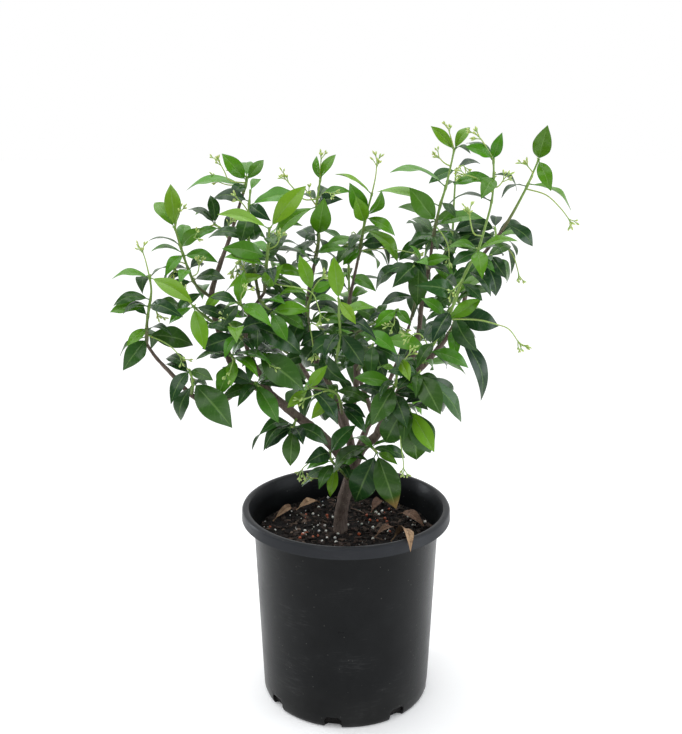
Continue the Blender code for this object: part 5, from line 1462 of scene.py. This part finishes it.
def dress_dead_leaf(name, foot, tip, facing, ratio, tone, slimmer, fold, curl, twist):
    """A dry, curled leaf in the place of its node."""
    draw = random.Random(f"{SEED} {name}")
    leaf = Leaf(Vector(foot) * MM, Vector(tip) * MM, Vector(facing), MATURE, ratio)
    leaf.half *= slimmer
    leaf.fold, leaf.arch = fold, DEAD_ARCH
    shape = Shape()
    add_blade(shape, leaf, draw, 0, tone, dry_bend(curl, twist, draw))
    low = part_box(name)[0].z
    lift = low - min(p.z for p in shape.points)
    shape.points = [p + UP * lift for p in shape.points]
    raise_over_rim(shape, leaf)
    piece = shape.made(name + "_dressed", dead_look)
    stand_for(piece, name)


def raise_over_rim(shape, leaf):
    """Bends a leaf up along its length until it lies on the rim."""
    above = [p for p in shape.points if RIM_INNER - MM < math.hypot(p.x, p.y) < RIM_RADIUS + MM]
    if not above:
        return
    rise = max(0.0, POT_HEIGHT + OVER_RIM - min(p.z for p in above))
    bent = BENT_WITHIN * leaf.length
    shape.points = [p + UP * (rise * min(1.0, (p - leaf.foot).length / bent)) for p in shape.points]


class Nodes:
    """A tree of shader nodes under construction."""

    def __init__(self, tree):
        self.tree = tree

    def put(self, socket, value):
        if isinstance(value, bpy.types.NodeSocket):
            self.tree.links.new(value, socket)
        elif socket.type == "RGBA":
            socket.default_value = (*value, 1.0)
        else:
            socket.default_value = value

    def node(self, kind, **inputs):
        """A new node with values or links at its inputs."""
        made = self.tree.nodes.new("ShaderNode" + kind)
        for name, value in inputs.items():
            self.put(made.inputs[name], value)
        return made

    def math(self, operation, *values):
        node = self.node("Math")
        node.operation = operation
        for socket, value in zip(node.inputs, values):
            self.put(socket, value)
        return node.outputs[0]

    def plus(self, a, b):
        return self.math("ADD", a, b)

    def minus(self, a, b):
        return self.math("SUBTRACT", a, b)

    def times(self, a, b):
        return self.math("MULTIPLY", a, b)

    def square(self, a, b):
        """The square of how far (a, b) is from the middle."""
        return self.plus(self.times(a, a), self.times(b, b))

    def mix(self, share, a, b):
        node = self.node("Mix")
        node.data_type = "RGBA"
        for socket, value in zip((node.inputs[0], node.inputs[6], node.inputs[7]), (share, a, b)):
            self.put(socket, value)
        return node.outputs[2]

    def ramp(self, value, *stops):
        """A colour or a number from a value, by stops of (place, colour or number)."""
        node = self.node("ValToRGB")
        self.put(node.inputs[0], value)
        elements = node.color_ramp.elements
        while len(elements) < len(stops):
            elements.new(0.5)
        for element, (place, colour) in zip(elements, stops):
            element.position = place
            element.color = (*(colour if isinstance(colour, tuple) else [colour] * 3), 1.0)
        return node.outputs[0]

    def attribute(self, name):
        """The three numbers of an attribute."""
        node = self.node("Attribute")
        node.attribute_name = name
        return self.split(node.outputs["Vector"])

    def split(self, vector):
        return self.node("SeparateXYZ", Vector=vector).outputs

    def at(self, stretch=(1, 1, 1)):
        """The place on the object in metres, stretched."""
        place = self.node("TexCoord").outputs["Object"]
        return self.node("Mapping", Scale=stretch, Vector=place).outputs[0]

    def noise(self, at, scale, detail=4.0, rough=0.6):
        return self.node("TexNoise", Vector=at, Scale=scale, Detail=detail, Roughness=rough).outputs[0]

    def spots(self, at, scale):
        """How far each place is from the nearest of scattered points."""
        return self.node("TexVoronoi", Vector=at, Scale=scale).outputs["Distance"]

    def veins(self, reach, along, strength, width):
        """Side veins that lean forward from the midrib."""
        run = self.minus(self.times(along, 8.0), self.times(reach, 1.5))
        return self.ramp(self.math("PINGPONG", run, 0.5), (0.0, strength), (width, 0.0))


class Look(Nodes):
    """A procedural material under construction."""

    def __init__(self, name, roughness=0.5, specular=0.5):
        self.material = bpy.data.materials.new(name)
        self.material.use_nodes = True
        super().__init__(self.material.node_tree)
        self.shader = self.tree.nodes["Principled BSDF"]
        self.set("Roughness", roughness)
        self.set("Specular IOR Level", specular)

    def set(self, name, value):
        self.put(self.shader.inputs[name], value)

    def finish(self, colour, height=None, distance=0.0, strength=0.0):
        """The material, with bumps as deep as the distance where a height is given."""
        self.set("Base Color", colour)
        if height is not None:
            bump = self.node("Bump", Distance=distance, Strength=strength, Height=height)
            self.set("Normal", bump.outputs[0])
        return self.material


def make_leaf_look():
    look = Look("jasmine_leaf", specular=0.27)
    look.set("Coat Weight", 0.07)
    look.set("Coat Roughness", 0.2)
    across, along, _length = look.attribute("place")
    tone, chance, under = look.attribute("look")
    colour = look.mix(look.times(chance, 0.45), look.ramp(tone, *GREENS), look.ramp(tone, *OLIVES))
    mottle = look.noise(look.at(), scale=160.0)
    colour = look.mix(look.ramp(mottle, (0.35, 0.0), (0.75, 1.0)), colour, look.mix(0.03, colour, NEW_GREEN))
    reach = look.math("ABSOLUTE", across)
    vein = look.times(look.veins(reach, along, strength=1.0, width=0.16), look.minus(1.0, reach))
    midrib = look.ramp(reach, (0.035, 1.0), (0.1, 0.0))
    lines = look.math("MAXIMUM", midrib, look.times(vein, 0.3))
    colour = look.mix(look.times(lines, 0.5), colour, look.mix(0.55, colour, VEIN_GREEN))
    edge = look.ramp(reach, (0.94, 0.0), (1.0, 0.2))
    colour = look.mix(edge, colour, look.mix(0.5, colour, NEW_GREEN))
    colour = look.mix(look.times(under, 0.35), colour, UNDERSIDE)
    browned = look.ramp(chance, (0.95, 0.0), (0.99, 1.0))
    browned = look.times(browned, look.ramp(along, (0.8, 0.0), (0.93, 1.0)))
    colour = look.mix(browned, colour, look.mix(mottle, *TIP_BROWNS))
    rough = look.plus(look.times(under, 0.22), look.times(mottle, 0.12))
    look.set("Roughness", look.plus(rough, 0.2))
    height = look.minus(look.times(mottle, 0.35), lines)
    return look.finish(colour, height, distance=0.4 * MM, strength=0.5)


def make_stem_look():
    look = Look("jasmine_stem", roughness=0.5)
    _turn, green, _share = look.attribute("place")
    grain = look.noise(look.at((1, 1, 0.35)), scale=700.0)
    mixed = look.plus(green, look.times(look.minus(grain, 0.5), 0.5))
    return look.finish(look.ramp(mixed, *STEM_GREENS), grain, distance=0.3 * MM, strength=0.5)


def make_bud_look():
    look = Look("jasmine_bud", roughness=0.45)
    look.set("Subsurface Weight", 0.1)
    _turn, along, _share = look.attribute("place")
    chance, _other, stalk = look.attribute("look")
    colour = look.mix(look.times(stalk, 0.8), look.ramp(along, *BUD_GREENS), STALK_GREEN)
    colour = look.mix(look.times(chance, 0.15), colour, PALE_BUD)
    grain = look.noise(look.at(), scale=900.0)
    return look.finish(colour, grain, distance=0.2 * MM, strength=0.3)


def make_bark_look():
    look = Look("jasmine_bark", roughness=0.8, specular=0.3)
    ridges = look.noise(look.at((1, 1, 0.22)), scale=520.0, detail=6.0, rough=0.7)
    patches = look.noise(look.at(), scale=90.0, detail=3.0)
    colour = look.mix(look.ramp(patches, (0.45, 0.0), (0.7, 0.6)), look.ramp(ridges, *BARKS), BARK_GREY)
    pores = look.ramp(look.spots(look.at(), scale=380.0), (0.12, 0.8), (0.2, 0.0))
    colour = look.mix(pores, colour, PORES)
    height = look.plus(ridges, look.times(pores, 0.5))
    return look.finish(colour, height, distance=1.2 * MM, strength=0.8)


def make_pot_look():
    look = Look("nursery_plastic", specular=0.1)
    clouds = look.noise(look.at(), scale=22.0, detail=5.0)
    fine = look.noise(look.at(), scale=900.0, detail=3.0)
    scratches = look.noise(look.at((0.35, 0.35, 3.0)), scale=190.0, detail=5.0, rough=0.75)
    scuffs = look.ramp(look.times(scratches, clouds), (0.3, 0.0), (0.42, 0.5))
    specks = look.ramp(look.spots(look.at(), scale=130.0), (0.05, 0.7), (0.09, 0.0))
    across, deep, height = look.split(look.at())
    dust = look.times(look.ramp(height, (0.0, 0.9), (0.05, 0.15), (1.0, 0.1)), clouds)
    colour = look.mix(look.times(dust, 0.25), look.ramp(clouds, *BLACKS), DUST)
    colour = look.mix(look.times(scuffs, 0.35), colour, SCUFF)
    colour = look.mix(look.times(specks, 0.35), colour, SPECK)
    # Painted highlight: the rim's top and lip band, outside its inner edge, are made lighter where light
    # from above falls
    painted_rim_light = look.ramp(height, (LIP - MM, 0.0), (LIP + MM, 1.0))
    near, far = (RIM_INNER - MM) ** 2, (RIM_INNER + MM) ** 2
    outside = look.ramp(look.square(across, deep), (near, 0.0), (far, 0.55))
    colour = look.mix(look.times(painted_rim_light, outside), colour, RIM_PAINTED_LIGHT)
    rough = look.plus(look.times(scuffs, 0.2), look.times(clouds, 0.18))
    look.set("Roughness", look.plus(rough, 0.22))
    height = look.plus(fine, look.times(clouds, 3.0))
    return look.finish(colour, height, distance=0.3 * MM, strength=0.25)


def make_soil_look():
    look = Look("compost", roughness=0.95, specular=0.25)
    grains = look.noise(look.at(), scale=420.0, detail=8.0, rough=0.75)
    return look.finish(look.ramp(grains, *EARTHS), grains, distance=3 * MM, strength=1.0)


def make_chip_look():
    look = Look("compost_chips", roughness=0.85, specular=0.3)
    tone, chance, chip = look.attribute("look")
    grain = look.noise(look.at((1, 0.5, 1)), scale=800.0, detail=5.0)
    dark = look.ramp(tone, *CRUMB_BROWNS)
    wood = look.mix(look.times(tone, 0.8), dark, look.ramp(chance, *CHIP_BROWNS))
    colour = look.mix(chip, dark, wood)
    colour = look.mix(look.ramp(grain, (0.35, 0.0), (0.7, 0.5)), colour, look.mix(0.25, colour, GRAIN_BROWN))
    return look.finish(colour, grain, distance=0.8 * MM, strength=0.9)


def make_prill_look(name, shades):
    look = Look(name, roughness=0.4)
    look.set("Subsurface Weight", 0.05)
    chance, _b, _c = look.attribute("look")
    mottle = look.noise(look.at(), scale=900.0)
    colour = look.mix(look.times(look.plus(mottle, chance), 0.5), *shades)
    return look.finish(colour, mottle, distance=0.3 * MM, strength=0.3)


def make_dead_look():
    look = Look("dry_leaf", roughness=0.65, specular=0.35)
    across, along, _length = look.attribute("place")
    tone, _chance, _under = look.attribute("look")
    blotch = look.noise(look.at(), scale=150.0, detail=6.0, rough=0.7)
    colour = look.mix(tone, look.ramp(blotch, *DRY_PALES), look.ramp(blotch, *DRY_DEEPS))
    reach = look.math("ABSOLUTE", across)
    midrib = look.ramp(reach, (0.03, 1.0), (0.09, 0.0))
    lines = look.math("MAXIMUM", look.veins(reach, along, strength=0.6, width=0.2), midrib)
    colour = look.mix(look.times(lines, 0.4), colour, DRY_VEIN)
    return look.finish(colour, look.minus(blotch, lines), distance=0.8 * MM, strength=0.7)


def make_floor():
    """A pale floor that turns evenly white farther out."""
    mesh = bpy.data.meshes.new("floor")
    edge = [(*on_circle(FLOOR_REACH, turn), 0.0) for turn in turns(POT_SIDES)]
    mesh.from_pydata(edge, [], [tuple(range(POT_SIDES))])
    floor = new_object("floor", mesh)
    look = Look("pale_floor", roughness=0.75, specular=0.2)
    across, deep, _height = look.split(look.at())
    far = look.ramp(look.square(across, deep), (0.05, 0.0), (0.75, 1.0))
    look.set("Emission Color", (1.0, 1.0, 1.0))
    look.set("Emission Strength", look.plus(look.times(far, 0.85), 0.15))
    pale = look.mix(look.noise(look.at(), scale=40.0), *FLOOR_WHITES)
    mesh.materials.append(look.finish(look.mix(far, pale, FAR_FLOOR)))


def add_light(name, place, aim, size, power, colour):
    light = bpy.data.lights.new(name, "AREA")
    light.shape = "RECTANGLE"
    light.size, light.size_y = size
    light.energy = power
    light.color = colour
    lamp = new_object(name, light)
    lamp.location = place
    lamp.rotation_euler = (Vector(aim) - Vector(place)).to_track_quat("-Z", "Y").to_euler()


def make_studio():
    """Plain soft light, bright at the sides and behind, dimmer from the front."""
    world = bpy.data.worlds.new("studio")
    bpy.context.scene.world = world
    world.use_nodes = True
    sky = Nodes(world.node_tree)
    _across, deep, _up = sky.split(sky.node("TexCoord").outputs["Generated"])
    colour = sky.ramp(deep, (0.0, FRONT_LIGHT), (0.45, BACK_LIGHT))
    sky.put(sky.tree.nodes["Background"].inputs["Color"], colour)
    for row in LIGHTS:
        add_light(*row)
    bpy.context.scene.view_settings.view_transform = "Standard"


def make_camera():
    data = bpy.data.cameras.new("camera")
    data.lens = LENS
    data.sensor_width = SENSOR
    camera = new_object("camera", data)
    camera.location = EYE
    camera.rotation_euler = (CAMERA_TILT, 0.0, CAMERA_TURN)
    bpy.context.scene.camera = camera


ball = fine_ball()
leaf_look = make_leaf_look()
stem_look = make_stem_look()
bud_look = make_bud_look()
bark_look = make_bark_look()
pot_look = make_pot_look()
soil_look = make_soil_look()
chip_look = make_chip_look()
white_look = make_prill_look("pale_prill", WHITES)
orange_look = make_prill_look("orange_prill", ORANGES)
dead_look = make_dead_look()

plant = bpy.data.collections.new("potted_star_jasmine")
bpy.context.scene.collection.children.link(plant)
make_camera()
make_floor()
make_studio()
dress_pot()
dress_wood()
dress_foliage()
dress_soil()
for row in DEAD_LEAVES:
    dress_dead_leaf(*row)
